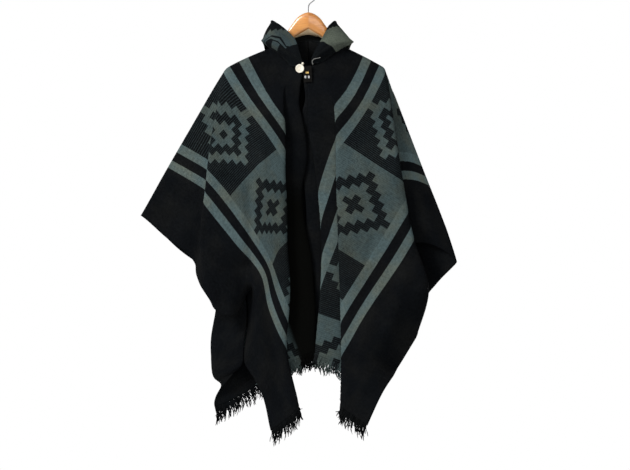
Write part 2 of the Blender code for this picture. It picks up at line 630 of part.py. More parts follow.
# ---- fringes: strands drawn out of a narrow strip just below each hem ----------
def fringe(name, half, v_end, skin, seed):
    """Strands hang from every second cell of a strip that follows the hem."""
    rng = np.random.default_rng(seed)
    cells = STRANDS * 2 + 1
    u = np.linspace(0.002, WIDTH - 0.002, cells + 1)
    out = 1.0 if v_end > 0 else -1.0
    knots = half[v_end]
    hem = cloth(knots, np.full_like(knots, v_end), half)
    fall = cloth(knots, np.full_like(knots, v_end + out * 0.004), half) - hem
    hem = np.stack([np.interp(u, knots, hem[:, k]) for k in range(3)], axis=1)
    fall = np.stack([np.interp(u, knots, fall[:, k]) for k in range(3)], axis=1)
    fall /= np.linalg.norm(fall, axis=1)[:, None]
    along = np.gradient(hem, axis=0)
    along /= np.linalg.norm(along, axis=1)[:, None]
    bend = 1.0 - np.sum(np.roll(along, 1, axis=0) * np.roll(along, -1, axis=0), axis=1)
    bend[[0, -1]] = 0.0
    bend = np.maximum(bend, np.maximum(np.roll(bend, 1), np.roll(bend, -1)))
    top = hem + fall * (FRINGE_GAP + 0.0020 * np.clip(bend, 0.0, 1.0))[:, None]
    low = top + fall * STRIP
    face = np.cross(along, fall)
    face /= np.linalg.norm(face, axis=1)[:, None]
    bm = bmesh.new()
    rings = []
    for a, b, n in zip(top, low, face):
        n = n * 0.0009
        rings.append([bm.verts.new(p) for p in (a - n, a + n, b + n, b - n)])
    bm.faces.new(rings[0])
    bm.faces.new(reversed(rings[-1]))
    lower = []
    for i, (a, b) in enumerate(zip(rings[:-1], rings[1:])):
        for k in range(4):
            made = bm.faces.new((a[k], b[k], b[(k + 1) % 4], a[(k + 1) % 4]))
            if k == 2 and i % 2 == 1:
                lower.append((made, (fall[i] + fall[i + 1]) / 2.0))
    bmesh.ops.recalc_face_normals(bm, faces=bm.faces)
    for order, (made, down) in enumerate(lower):
        down = Vector(down).normalized()
        drop = (down * 0.5 + Vector((0.0, 0.0, -0.5))).normalized()
        swing = Vector((rng.uniform(-0.04, 0.04), rng.uniform(-0.01, 0.01), 0.0))
        swing.x = max(swing.x * half["side"], 0.0 if order < 4 else -1.0) * half["side"]
        length = FRINGE_LENGTH * rng.uniform(0.82, 1.08)
        out_faces = bmesh.ops.extrude_discrete_faces(bm, faces=[made])["faces"]
        tip = out_faces[0]
        centre = tip.calc_center_median()
        for vert in tip.verts:
            vert.co = centre + (vert.co - centre) * 0.55 + (drop + swing) * length
    obj = add_object(name, bm, skin)
    smooth(obj)
    return obj


# ---- hanger --------------------------------------------------------------------
def wood_rows():
    """Sections from one tip to the other: x, top z and bottom z."""
    table = [(x, WOOD_TOP + top, WOOD_TOP + low) for x, top, low in CROWN]
    for side, name in ((1.0, "right"), (-1.0, "left")):
        half = HALVES[name]
        tip = half["tip"][0]
        u = np.linspace(NECK_HALF, tip - 0.002, 60)
        line = np.stack([cloth(u, np.full_like(u, v), half) for v in np.linspace(-0.009, 0.009, 7)])
        x = line[3][:, 0] * side
        z = line[:, :, 2].min(axis=0) - CLOTH_THICK / 2.0 - WOOD_CLEAR
        for share in ARM_STATIONS:
            reach = x.min() + (x.max() - 0.012 - x.min()) * share
            top = float(np.interp(reach, x, z))
            deep = ARM_ROOT + (ARM_TIP - ARM_ROOT) * share
            table.append((side * reach, top, top - deep))
    return sorted(table)


def wooden_body(name, skin):
    bm = bmesh.new()
    rings = []
    for x, top, low in wood_rows():
        ring = []
        for k in range(WOOD_RING):
            t = 2.0 * pi * (k + 0.5) / WOOD_RING
            c = cos(t)
            s = sin(t)
            y = WOOD_HALF * np.sign(c) * abs(c) ** 0.7
            z = (top + low) / 2.0 + (top - low) / 2.0 * np.sign(s) * abs(s) ** 0.7
            ring.append(bm.verts.new((x, y, z)))
        rings.append(ring)
    for a, b in zip(rings[:-1], rings[1:]):
        for k in range(WOOD_RING):
            bm.faces.new((a[k], b[k], b[(k + 1) % WOOD_RING], a[(k + 1) % WOOD_RING]))
    bm.faces.new(rings[0])
    bm.faces.new(reversed(rings[-1]))
    obj = add_object(name, bm, skin)
    smooth(obj, 40.0)
    return obj


# ---- build ---------------------------------------------------------------------
for old in list(bpy.data.objects):
    bpy.data.objects.remove(old, do_unlink=True)
COLLECTION = bpy.data.collections.new(OBJECT_NAME)
bpy.context.scene.collection.children.link(COLLECTION)

BLACK = material("black_cloth", BLACK_CLOTH, 0.92)
HOODED = material("hood_cloth", GREY_CLOTH, 0.92)
YARN = material("fringe_yarn", BLACK_CLOTH, 0.95)
VARNISH = material("varnished_wood", WOOD, 0.28)
WIRE = material("hook_wire", STEEL, 0.25, 1.0)
SHELL = material("button_shell", IVORY, 0.35)
KEEPER = material("clasp_brass", BRASS, 0.30, 1.0)
BITS = material("clasp_steel", STEEL, 0.30, 1.0)
TAB = material("tab_cloth", TAB_CLOTH, 0.9)

panel("panel_left", HALVES["left"], BLACK)
panel("panel_right", HALVES["right"], BLACK)
hood("hood_left", HOOD_LEFT, HALVES["left"], HOODED)
hood("hood_right", HOOD_RIGHT, HALVES["right"], HOODED)
fringe("fringe_front_left", HALVES["left"], FRONT, YARN, 11)
fringe("fringe_front_right", HALVES["right"], FRONT, YARN, 12)
fringe("fringe_back_left", HALVES["left"], -BACK, YARN, 13)
fringe("fringe_back_right", HALVES["right"], -BACK, YARN, 14)

# Neck: the tab lies in front of the panels, the button at its upper left.
tab = bmesh.new()
bmesh.ops.create_cube(tab, size=1.0, matrix=Matrix.Translation(at(307.6, 74.8, TAB_Y))
                      @ Matrix.Rotation(radians(-3.0), 4, "Y")
                      @ Matrix.Diagonal((TAB_WIDE, 0.002, TAB_LONG, 1.0)))
tab = add_object("neck_tab", tab, TAB)
round_edges(tab, 0.0006, 1)
disc("neck_button", at(299.9, 69.4, BUTTON_Y), BUTTON_RADIUS, 0.0030, SHELL, 24, 0.0009)
bead = bmesh.new()
bmesh.ops.create_uvsphere(bead, u_segments=8, v_segments=6, radius=0.0034,
                          matrix=Matrix.Translation(at(302.8, 64.6, BUTTON_Y - 0.0040)))
smooth(add_object("button_bead", bead, SHELL), 60.0)
CLASP_Y = TAB_Y - 0.001 - SEAM
keeper = bmesh.new()
bmesh.ops.create_cube(keeper, size=1.0, matrix=Matrix.Translation(at(307.3, 73.6, CLASP_Y - 0.0011))
                      @ Matrix.Diagonal((0.0080, 0.0022, 0.0052, 1.0)))
round_edges(add_object("clasp_keeper", keeper, KEEPER), 0.0006, 1)
for bit, col in (("clasp_bit_left", 305.5), ("clasp_bit_right", 308.9)):
    piece = bmesh.new()
    bmesh.ops.create_cube(piece, size=1.0, matrix=Matrix.Translation(at(col, 77.9, CLASP_Y - 0.0010))
                          @ Matrix.Diagonal((0.0046, 0.0020, 0.0066, 1.0)))
    round_edges(add_object(bit, piece, BITS), 0.0006, 1)
cord("button_loop", [at(c, r, LOOP_Y) for c, r in (
    (313.0, 65.5), (312.2, 62.0), (314.5, 59.9), (318.0, 59.2), (320.5, 58.4))],
     0.0011, TAB, 2)

wooden_body("hanger_wood", VARNISH)
wire = [(0.0, 0.0, WOOD_TOP + SEAM), (0.0, 0.0, WOOD_TOP + 0.014), (0.001, 0.0, WOOD_TOP + 0.022)]
for degrees in range(-56, 215, 18):
    t = radians(degrees)
    wire.append((HOOK_RADIUS * cos(t), 0.0, HOOK_RADIUS * sin(t) - HOOK_INSIDE))
cord("hanger_hook", wire, HOOK_WIRE, WIRE, 1)
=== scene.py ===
"""Looks of a hooded woven poncho on its wooden hanger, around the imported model.

The cloth is drawn finer than in the solids, from the same lines: u runs across the
cloth from the front edge, v runs along the warp from the shoulder line.
"""
from math import cos, pi, radians, sin

import bmesh
import bpy
import numpy as np
from mathutils import Matrix, Vector


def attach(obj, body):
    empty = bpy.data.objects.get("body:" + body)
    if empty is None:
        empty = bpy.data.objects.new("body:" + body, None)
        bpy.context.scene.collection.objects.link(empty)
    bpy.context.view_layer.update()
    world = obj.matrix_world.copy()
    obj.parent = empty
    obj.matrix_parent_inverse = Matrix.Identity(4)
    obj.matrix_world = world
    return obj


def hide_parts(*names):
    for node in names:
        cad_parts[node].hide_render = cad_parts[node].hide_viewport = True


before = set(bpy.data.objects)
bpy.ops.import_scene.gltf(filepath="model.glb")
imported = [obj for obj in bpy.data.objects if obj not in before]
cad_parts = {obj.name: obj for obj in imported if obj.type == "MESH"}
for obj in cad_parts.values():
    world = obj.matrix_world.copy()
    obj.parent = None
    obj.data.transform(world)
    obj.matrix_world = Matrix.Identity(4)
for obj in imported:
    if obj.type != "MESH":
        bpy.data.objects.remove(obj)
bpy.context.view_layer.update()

CLOTH_THICK = 0.002
# The neck edge, as v along the warp and u across the cloth.
NECK = (
    (-0.030, 0.000), (-0.026, 0.040), (-0.016, 0.062), (0.000, 0.078),
    (0.030, 0.057), (0.065, 0.041), (0.098, 0.019), (0.112, 0.000))
NECK_HALF = 0.072

# ---- the hanging cloth --------------------------------------------------------
# Each half is one loom width. u runs out from the front edge, v down the warp:
# plus on the front, minus on the back. Sizes in the tables named col and row are
# steps of GRID across and down, so that neighbouring tables share one lattice.
GRID = 0.0027
COL0 = 308.5
ROW0 = 13.0
ROW0_Z = -0.074
WIDTH = 0.668
FRONT = 0.84
BACK = 0.76
REACH = 0.30
DEPTH_REACH = 0.13
SEAM_GAP = 0.0007
CENTRE_BLEND = 0.07
JOIN_TOP = 0.46
JOIN_END = 0.64
JOIN_MIDDLE = 0.04
JOIN_BLEND = 0.10
ROUND = 0.007
RIDGE_DEPTH = 0.013
BODY_DEPTH = 0.050
DEPTH_RUN = 0.27


def across(col):
    return (np.asarray(col, float) - COL0) * GRID


def height(row):
    return ROW0_Z - (np.asarray(row, float) - ROW0) * GRID


def ease(t):
    t = np.clip(t, 0.0, 1.0)
    return t * t * (3.0 - 2.0 * t)


def polar(u, v, apex):
    du = u - apex[0]
    dv = v - apex[1]
    return np.hypot(du, dv), np.degrees(np.arctan2(du, dv))


def turned(u, v, apex, degrees):
    t = np.radians(degrees)
    du = u - apex[0]
    dv = v - apex[1]
    c = np.cos(t)
    s = np.sin(t)
    return apex[0] + du * c + dv * s, apex[1] - du * s + dv * c


# Fans of cloth about the hanger's tip: cloth angle, angle hung, share of depth.
RIGHT_FAN = (
    (-180, 0, 1), (-91, -89, 1), (-90, -90, 0), (-89, -89, -1),
    (41, 41, -1), (42, 40.5, -0.72), (65, 26.6, -0.72), (67, 26.6, -0.45),
    (91, 40.6, -0.42), (93, 41.7, -0.38), (116.5, 52.5, 0), (136, 38, 0.8),
    (180, 0, 1))
LEFT_FAN = (
    (-180, 3.5, 1), (-91, -89, 1), (-90, -90, 0), (-89, -89, -1),
    (20, 20, -1), (55, 46.5, -1), (62, 44.7, -0.72), (66, 45, -0.25),
    (90, 64.5, 0), (114, 45, 0.25), (130, 44.2, 1), (180, 3.5, 1))

# Pleats: apex u and v, cloth angle of the edge and of the turn behind it, step
# inward, the run of v over which the pleat opens, and its share left at the hem.
RIGHT_FRONT = (
    (-0.025, -0.067, 33.2, 26.5, 0.020, 0.06, 0.22, 0.9),
    (-0.030, -0.106, 16.4, 8.4, 0.018, 0.06, 0.22, 1.0))
RIGHT_BACK = (
    (-0.025, -0.067, 33.2, 26.2, 0.024, 0.02, 0.20, 0.8),
    (-0.025, -0.067, 16.7, 10.2, 0.018, 0.02, 0.20, 1.0))
LEFT_FRONT = (
    (-0.008, 0.005, 33.0, 24.9, 0.026, 0.06, 0.22, 0.65),
    (-0.080, -0.100, 15.1, 8.0, 0.018, 0.06, 0.22, 1.0))
LEFT_BACK = (
    (-0.008, -0.040, 32.0, 25.0, 0.026, 0.02, 0.20, 0.9),
    (-0.008, -0.040, 15.5, 9.0, 0.018, 0.02, 0.20, 1.0))

# Places where the hung cloth is held: u, v, col, row, depth (or None).
LEFT_PINS = (
    (0.000, 0.10, 303.0, 69, -0.030), (0.000, 0.18, 300.0, 92, None),
    (0.000, 0.28, 299.5, 130, None), (0.000, 0.41, 300, 180, None),
    (0.000, 0.62, 300, 255, None), (0.000, 0.84, 301, 342, None),
    (0.058, 0.41, 303.5, 181, None), (0.098, 0.56, 308, 233, None),
    (0.140, 0.71, 314.8, 288, None), (0.172, 0.84, 317.2, 350, None),
    (0.159, 0.78, 316.6, 320, None),
    (0.154, 0.25, 286.5, 138, None), (0.211, 0.34, 286.5, 174, None),
    (0.330, 0.52, 288, 246, None), (0.429, 0.675, 289.5, 316, None),
    (0.510, 0.795, 290, 371, None), (0.541, 0.84, 297, 402, None),
    (0.470, 0.20, 206, 189, None), (0.470, 0.30, 231, 220, None),
    (0.470, 0.40, 252, 248, None), (0.470, 0.50, 267, 272, None),
    (0.470, 0.62, 274, 304, None), (0.510, 0.70, 275, 336, None),
    (0.300, 0.20, 241, 150, None), (0.300, 0.32, 266, 187, None),
    (0.668, 0.00, 140, 215, None), (0.668, 0.10, 168, 239, None),
    (0.668, 0.19, 191, 257, None), (0.668, 0.26, 199, 280, None),
    (0.668, 0.33, 213, 304, None), (0.668, 0.37, 223, 314, None),
    (0.668, 0.41, 239, 312, -0.030), (0.668, 0.46, 246, 294, 0.000),
    (0.668, 0.55, 247, 325, 0.000), (0.668, 0.64, 244, 356, 0.000),
    (0.668, 0.74, 262, 392, None), (0.668, 0.84, 271, 429, None),
    (0.668, -0.38, 246, 294, 0.000), (0.668, -0.47, 247, 325, 0.000),
    (0.668, -0.56, 244, 356, 0.000), (0.668, -0.66, 228, 380, 0.020),
    (0.668, -0.76, 214, 409, 0.044),
    (0.590, -0.36, 219, 305, 0.020), (0.590, -0.48, 217, 343, 0.015),
    (0.592, -0.60, 213, 378, 0.042), (0.600, -0.76, 228, 403, None),
    (0.000, -0.03, 308.5, 39.5, None), (0.000, -0.20, 308.5, 102, None),
    (0.000, -0.40, 308.5, 175, None), (0.000, -0.60, 308.5, 248, None),
    (0.000, -0.76, 308.5, 307, None))
RIGHT_PINS = (
    (0.000, 0.10, 304.5, 66, -0.026), (0.000, 0.16, 304, 85, None),
    (0.000, 0.22, 303.5, 107, None), (0.000, 0.30, 303.5, 136, None),
    (0.000, 0.42, 304, 181, None), (0.000, 0.58, 306, 240, None),
    (0.000, 0.745, 314.5, 300, None), (0.000, 0.84, 313.6, 340, None),
    (0.130, 0.17, 333.5, 108, None), (0.211, 0.29, 335, 161, None),
    (0.429, 0.62, 340, 307, None), (0.510, 0.74, 341.5, 361, None),
    (0.470, 0.50, 376, 278, None), (0.300, 0.30, 361, 182, None),
    (0.668, -0.239, 457.5, 262, None), (0.668, -0.30, 441, 279, None),
    (0.668, -0.38, 424, 305, 0.000), (0.668, -0.47, 417, 336, 0.000),
    (0.668, -0.56, 400, 364, 0.000), (0.668, -0.66, 384, 386, 0.036),
    (0.668, -0.76, 366, 415, None),
    (0.668, 0.00, 413, 243, None), (0.668, 0.46, 424, 305, -0.003),
    (0.668, 0.55, 417, 336, -0.003), (0.668, 0.64, 400, 364, -0.003),
    (0.668, 0.75, 384, 388, None), (0.668, 0.84, 367, 424, None),
    (0.000, -0.03, 308.5, 39.5, None), (0.000, -0.20, 308.5, 102, None),
    (0.000, -0.40, 308.5, 175, None), (0.000, -0.60, 308.5, 248, None),
    (0.000, -0.76, 308.5, 307, None))

HALVES = {
    "right": {
        "side": 1.0, "tip": (0.189, 0.0), "lean": 31.5, "flat_to": 41,
        "close": ((0.50, 0.30, 0.72), (0.50, -0.72, -0.22)), "hold": (0.13, 365.5, 54.5),
        "join_apart": (0.0, 0.0020, 0.0), "fan": RIGHT_FAN,
        "front": RIGHT_FRONT, "back": RIGHT_BACK, "pins": RIGHT_PINS},
    "left": {
        "side": -1.0, "tip": (0.182, 0.0), "lean": 34.5, "flat_to": 55,
        "close": ((0.44, 0.26, 0.84), (0.48, -0.76, -0.22)), "hold": (0.13, 241.0, 55.0),
        "join_apart": (-0.0012, 0.0, 0.0), "fan": LEFT_FAN,
        "front": LEFT_FRONT, "back": LEFT_BACK, "pins": LEFT_PINS}}


def folded(u, v, half):
    """Fold the flat cloth about the hanger's tip and the pleats' apexes."""
    u = np.asarray(u, float)
    v = np.asarray(v, float)
    fan = np.array(half["fan"], float)
    r, angle = polar(u, v, half["tip"])
    hung = np.interp(angle, fan[:, 0], fan[:, 1])
    share = np.interp(angle, fan[:, 0], fan[:, 2])
    run = np.where(angle > 0, r, np.abs(v))
    y = share * (RIDGE_DEPTH + (BODY_DEPTH - RIDGE_DEPTH) * ease(run / DEPTH_RUN))
    a, b = turned(u, v, half["tip"], hung - angle)
    fu = a
    fv = b
    for rows, here, out in ((half["front"], v >= 0, 1.0), (half["back"], v < 0, -1.0)):
        pu = a.copy()
        pv = b.copy()
        py = np.zeros_like(a)
        for au, av, edge, turn, step, start, full, far in reversed(rows):
            r, angle = polar(a, b, (au, av))
            turn = edge - (edge - turn) * (1.0 - (1.0 - far) * ease((r - 0.5) / 0.5))
            opened = ease((np.abs(v) - start) / (full - start))
            sunk = ease((np.abs(v) - start) / (full - start) / 1.5)
            swing = 2.0 * np.clip(edge - angle, 0.0, edge - turn) * opened
            behind = (np.clip(edge + 0.5 - angle, 0.0, 1.0)
                      + np.clip(turn + 0.5 - angle, 0.0, 1.0)) / 2.0
            py = py + out * step * behind * sunk
            pu, pv = turned(pu, pv, (au, av), swing)
        fu = np.where(here, pu, fu)
        fv = np.where(here, pv, fv)
        y = np.where(here, y + py, y)
    lean = np.radians(half["lean"])
    hold_u, col, row = half["hold"]
    du = fu - hold_u
    x = across(col) + half["side"] * (du * np.cos(lean) - fv * np.sin(lean))
    z = height(row) - du * np.sin(lean) - fv * np.cos(lean)
    return np.stack([x, y, z], axis=-1)


def bump(r, reach):
    q = np.clip(1.0 - r / reach, 0.0, 1.0)
    return q ** 4 * (4.0 * r / reach + 1.0)


def pulls_to(places, wanted, reach):
    gaps = np.hypot(
        places[:, None, 0] - places[None, :, 0], places[:, None, 1] - places[None, :, 1])
    return np.linalg.solve(bump(gaps, reach) + 0.002 * np.eye(len(places)), wanted)


def pin_pulls(half):
    """Solve the pulls that bring the folded cloth to its pins."""
    pins = half["pins"]
    places = np.array([(p[0], p[1]) for p in pins], float)
    base = folded(places[:, 0], places[:, 1], half)
    goal = base.copy()
    goal[:, 0] = across([p[2] for p in pins])
    goal[:, 2] = height([p[3] for p in pins])
    pulls = pulls_to(places, goal - base, REACH)
    deep = np.array([p[4] is not None for p in pins])
    depth = np.array([p[4] for p in pins if p[4] is not None])
    sunk = pulls_to(places[deep], depth - base[deep, 1], DEPTH_REACH)
    return places, pulls, places[deep], sunk


def hung(u, v, half):
    u = np.asarray(u, float)
    v = np.asarray(v, float)
    if "pulls" not in half:
        half["pulls"] = pin_pulls(half)
    places, pulls, deep, sunk = half["pulls"]
    point = folded(u, v, half)
    for (pu, pv), pull in zip(places, pulls):
        point = point + bump(np.hypot(u - pu, v - pv), REACH)[..., None] * pull
    for (pu, pv), pull in zip(deep, sunk):
        point[..., 1] += bump(np.hypot(u - pu, v - pv), DEPTH_REACH) * pull
    return point


def rounded(u, v, half, radius=ROUND):
    """Average over a small disc of cloth, so that folds come out round."""
    u = np.asarray(u, float)
    v = np.asarray(v, float)
    total = hung(u, v, half)
    count = 1
    for ring, around in ((0.55, 6), (1.0, 8)):
        for i in range(around):
            t = 2.0 * np.pi * (i + 0.25) / around
            total = total + hung(
                u + radius * ring * np.cos(t), v + radius * ring * np.sin(t), half)
            count += 1
    return total / count


def seam_shifts():
    """Shifts that bring the centre back edges and the side joins together."""
    run = np.linspace(-BACK - 0.02, -0.02, 80)
    zero = np.zeros_like(run)
    left = rounded(zero, run, HALVES["left"])
    right = rounded(zero, run, HALVES["right"])
    middle = (left + right) / 2.0
    for half, edge in ((HALVES["left"], left), (HALVES["right"], right)):
        goal = middle.copy()
        goal[:, 0] = half["side"] * SEAM_GAP / 2.0
        half["centre"] = (run, goal - edge)
    for half in HALVES.values():
        run = np.linspace(JOIN_TOP - 0.06, JOIN_END + 0.06, 40)
        out = np.full_like(run, WIDTH)
        front = rounded(out, run, half)
        back = rounded(out, 2.0 * JOIN_MIDDLE - run, half)
        middle = (front + back) / 2.0
        apart = np.array(half["join_apart"], float)
        near = ease((run - JOIN_TOP + 0.06) / 0.06) * ease((JOIN_END + 0.06 - run) / 0.06)
        half["join"] = (
            run, (middle - apart - front) * near[:, None], (middle + apart - back) * near[:, None])


def cloth(u, v, half):
    """Where the middle of the cloth hangs at (u, v)."""
    u = np.asarray(u, float)
    v = np.asarray(v, float)
    if "join" not in half:
        seam_shifts()
    point = rounded(u, v, half)
    run, shift = half["centre"]
    weight = ease(1.0 - u / CENTRE_BLEND) * ease((-v) / 0.03)
    for axis in range(3):
        point[..., axis] += weight * np.interp(v, run, shift[:, axis])
    run, front, back = half["join"]
    weight = ease(1.0 - (WIDTH - u) / JOIN_BLEND)
    for axis in range(3):
        point[..., axis] += weight * np.interp(v, run, front[:, axis], 0.0, 0.0)
        point[..., axis] += weight * np.interp(
            2.0 * JOIN_MIDDLE - v, run, back[:, axis], 0.0, 0.0)
    return point


# ---- hood, as rows from its front end to the centre back -----------------------
# Each row: seam, upper fold, bottom of the bag and free edge, as col, row, depth.
HOOD_LEFT = (
    ((302.8, 67.0, -0.0305), (302.8, 65.2, -0.0315),
     (302.6, 63.2, -0.0325), (302.2, 61.4, -0.033)),
    ((295.0, 64.2, -0.0305), (296.2, 61.5, -0.035), (297.6, 57.5, -0.036), (299.4, 53.0, -0.035)),
    ((285.5, 59.8, -0.03), (287.6, 56.0, -0.036), (291.0, 49.5, -0.037), (296.0, 42.0, -0.034)),
    ((278.0, 53.8, -0.027), (279.4, 50.0, -0.035), (283.6, 43.0, -0.037), (290.6, 34.8, -0.029)),
    ((271.5, 48.6, -0.022), (271.2, 45.0, -0.031), (274.0, 37.0, -0.033), (281.0, 26.2, -0.022)),
    ((266.5, 45.8, -0.0154), (262.8, 42.0, -0.02), (264.6, 31.0, -0.0174), (271.4, 20.8, -0.011)),
    ((265.0, 43.6, 0.0158), (262.0, 40.0, 0.0198), (266.0, 50.0, 0.04), (273.5, 28.0, 0.042)),
    ((272.5, 41.6, 0.0168), (272.5, 36.0, 0.028), (268.0, 84.0, 0.052), (282.0, 36.0, 0.056)),
    ((288.0, 40.2, 0.0183), (288.0, 34.8, 0.03), (284.0, 118.0, 0.06), (294.0, 43.5, 0.072)),
    ((308.2, 39.0, 0.0193), (308.2, 33.4, 0.032), (308.2, 133.0, 0.062), (308.2, 47.0, 0.078)))
HOOD_RIGHT = (
    ((310.8, 66.0, -0.0269), (310.9, 64.0, -0.0279),
     (311.1, 61.8, -0.0289), (311.4, 59.8, -0.0294)),
    ((316.6, 61.6, -0.0289), (316.2, 58.6, -0.0344),
     (315.4, 55.2, -0.0354), (314.6, 52.6, -0.0334)),
    ((325.2, 56.8, -0.0294), (323.6, 52.8, -0.0364),
     (321.8, 47.0, -0.0374), (319.8, 43.0, -0.0334)),
    ((336.6, 50.8, -0.0264), (334.4, 46.6, -0.0354),
     (330.0, 39.0, -0.0364), (324.6, 34.0, -0.0294)),
    ((344.4, 48.0, -0.0214), (343.4, 43.6, -0.0314),
     (336.6, 34.0, -0.0334), (328.6, 26.6, -0.0224)),
    ((350.4, 46.0, -0.0154), (353.2, 42.8, -0.0194),
     (345.0, 32.0, -0.0174), (335.4, 21.2, -0.011)),
    ((350.0, 44.6, 0.0158), (352.2, 41.4, 0.0198), (347.0, 52.0, 0.04), (337.6, 29.0, 0.042)),
    ((343.5, 42.2, 0.0168), (344.0, 37.0, 0.028), (346.0, 84.0, 0.052), (333.0, 36.0, 0.056)),
    ((328.0, 40.6, 0.0183), (328.0, 35.2, 0.03), (331.0, 118.0, 0.06), (322.0, 43.5, 0.072)),
    ((308.82, 39.0, 0.0193), (308.82, 33.4, 0.032), (308.82, 133.0, 0.062), (308.82, 47.0, 0.078)))
BAG_HALF = 0.011
# Along the hood's seam from front to centre back, and where on the neck edge it lies.
SEAT_S = (0.0, 0.05, 0.10, 0.15, 0.20, 0.25, 0.30, 0.35, 0.40, 0.45, 0.50, 0.55, 0.60,
          0.65, 0.70, 0.75, 0.80, 0.85, 0.90, 0.95, 1.0)
SEAT_V = (0.100, 0.090, 0.081, 0.071, 0.058, 0.046, 0.033, 0.022, 0.013, 0.0085, 0.006,
          0.0045, 0.0, -0.0015, -0.003, -0.0055, -0.0085, -0.0178, -0.024, -0.028, -0.030)
SEAT_GAP = 0.0014


def through(knots, at):
    """A smooth line through the knots, at shares 0 to 1 of their spacing."""
    knots = np.asarray(knots, float)
    last = len(knots) - 1
    t = np.clip(np.asarray(at, float), 0.0, 1.0) * last
    i = np.minimum(t.astype(int), last - 1)
    f = (t - i).reshape((-1,) + (1,) * (knots.ndim - 1))
    slope = np.gradient(knots, axis=0)
    a = knots[i]
    b = knots[i + 1]
    h = b - a
    return (a + f * slope[i] + f * f * (3.0 * h - 2.0 * slope[i] - slope[i + 1])
            + f * f * f * (slope[i] + slope[i + 1] - 2.0 * h))


def neck_seat(half, s, drawn):
    """Where the hood is sewn on: just off the neck edge of its panel."""
    v = np.interp(s, SEAT_S, SEAT_V)
    u = np.interp(v, [a for a, _ in NECK], [b for _, b in NECK])
    turn = pi * np.clip((s - 0.45) / 0.27, 0.0, 1.0)
    off = np.stack([np.zeros_like(s), -np.cos(turn), np.sin(turn)], axis=-1)
    seat = cloth(u, v, half) + SEAT_GAP * off
    seat[:, 0] += (drawn[:, 0] - seat[:, 0]) * ease((s - 0.8) / 0.15)
    return drawn + (seat - drawn) * ease((s - 0.03) / 0.12)[:, None]


def hood_point(rows, half, s, t):
    """Hood cloth at s (front 0 to centre back 1) and t (seam 0 to free edge 1)."""
    knots = np.array([[[float(across(c)), y, float(height(r))] for c, r, y in row]
                      for row in rows])
    s = np.asarray(s, float)
    seam, fold, low, edge = np.moveaxis(through(knots, s), 1, 0)
    seam = neck_seat(half, s, seam)
    rise = np.clip((fold[:, 2] - low[:, 2]) / 0.05, 0.0, 1.0)[:, None]
    flat = 0.22 * (1.0 - rise)
    near = low - np.array([0.0, BAG_HALF, 0.0]) * rise + (fold - low) * flat
    away = low + np.array([0.0, BAG_HALF, 0.0]) * rise + (edge - low) * flat
    down = (fold + near) / 2.0
    up = (away + edge) / 2.0 + np.array([0.0, 0.006, 0.0]) * rise
    t = np.asarray(t, float)
    marks = np.array([0.0, 0.16, 0.36, 0.54, 0.62, 0.80, 1.0])
    share = np.interp(t, marks, np.linspace(0.0, 1.0, len(marks)))
    stack = np.stack([seam, fold, down, near, away, up, edge])
    out = np.empty((len(t), 3))
    for k in range(len(t)):
        out[k] = through(stack[:, k], share[k:k + 1])[0]
    return out


# ---- small helpers -------------------------------------------------------------
def link(obj):
    bpy.context.scene.collection.objects.link(obj)
    return obj


def dress(mesh, skin):
    """Give a mesh its material and add it to the part."""
    mesh.materials.append(skin)
    mesh.shade_smooth()
    obj = link(bpy.data.objects.new(mesh.name, mesh))
    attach(obj, "root")
    return obj


def add_mesh(name, bm, skin):
    mesh = bpy.data.meshes.new(name)
    bm.to_mesh(mesh)
    bm.free()
    return dress(mesh, skin)


def add_solid(name, bm, skin):
    bmesh.ops.recalc_face_normals(bm, faces=bm.faces)
    return add_mesh(name, bm, skin)


def loft(bm, rings):
    """Skin a row of rings, with a cap at each end."""
    for a, b in zip(rings[:-1], rings[1:]):
        for k in range(len(a)):
            after = (k + 1) % len(a)
            bm.faces.new((a[k], a[after], b[after], b[k]))
    bm.faces.new(rings[0])
    bm.faces.new(reversed(rings[-1]))


def thicken(obj, thick=CLOTH_THICK):
    wall = obj.modifiers.new("wall", "SOLIDIFY")
    wall.thickness = thick
    wall.offset = 0.0
    wall.use_even_offset = False
    wall.use_rim = True


def at(col, row, y):
    return Vector((float(across(col)), y, float(height(row))))


def measured_mesh(name, places, faces, flat, skin):
    """A mesh whose UV map holds the flat measures u and v of each of its places."""
    mesh = bpy.data.meshes.new(name)
    mesh.from_pydata(places, [], faces)
    corners = np.zeros(len(mesh.loops), int)
    mesh.loops.foreach_get("vertex_index", corners)
    layer = mesh.uv_layers.new(name="cloth")
    layer.data.foreach_set("uv", np.asarray(flat, np.float32)[corners].ravel())
    return dress(mesh, skin)


def grid_mesh(name, points, uv, skin):
    """A sheet over a grid of points."""
    rows, cols = points.shape[:2]
    index = np.arange(rows * cols).reshape(rows, cols)
    faces = np.stack([index[:-1, :-1], index[1:, :-1], index[1:, 1:], index[:-1, 1:]], axis=-1)
    return measured_mesh(name, points.reshape(-1, 3).tolist(), faces.reshape(-1, 4).tolist(),
                         uv.reshape(-1, 2), skin)


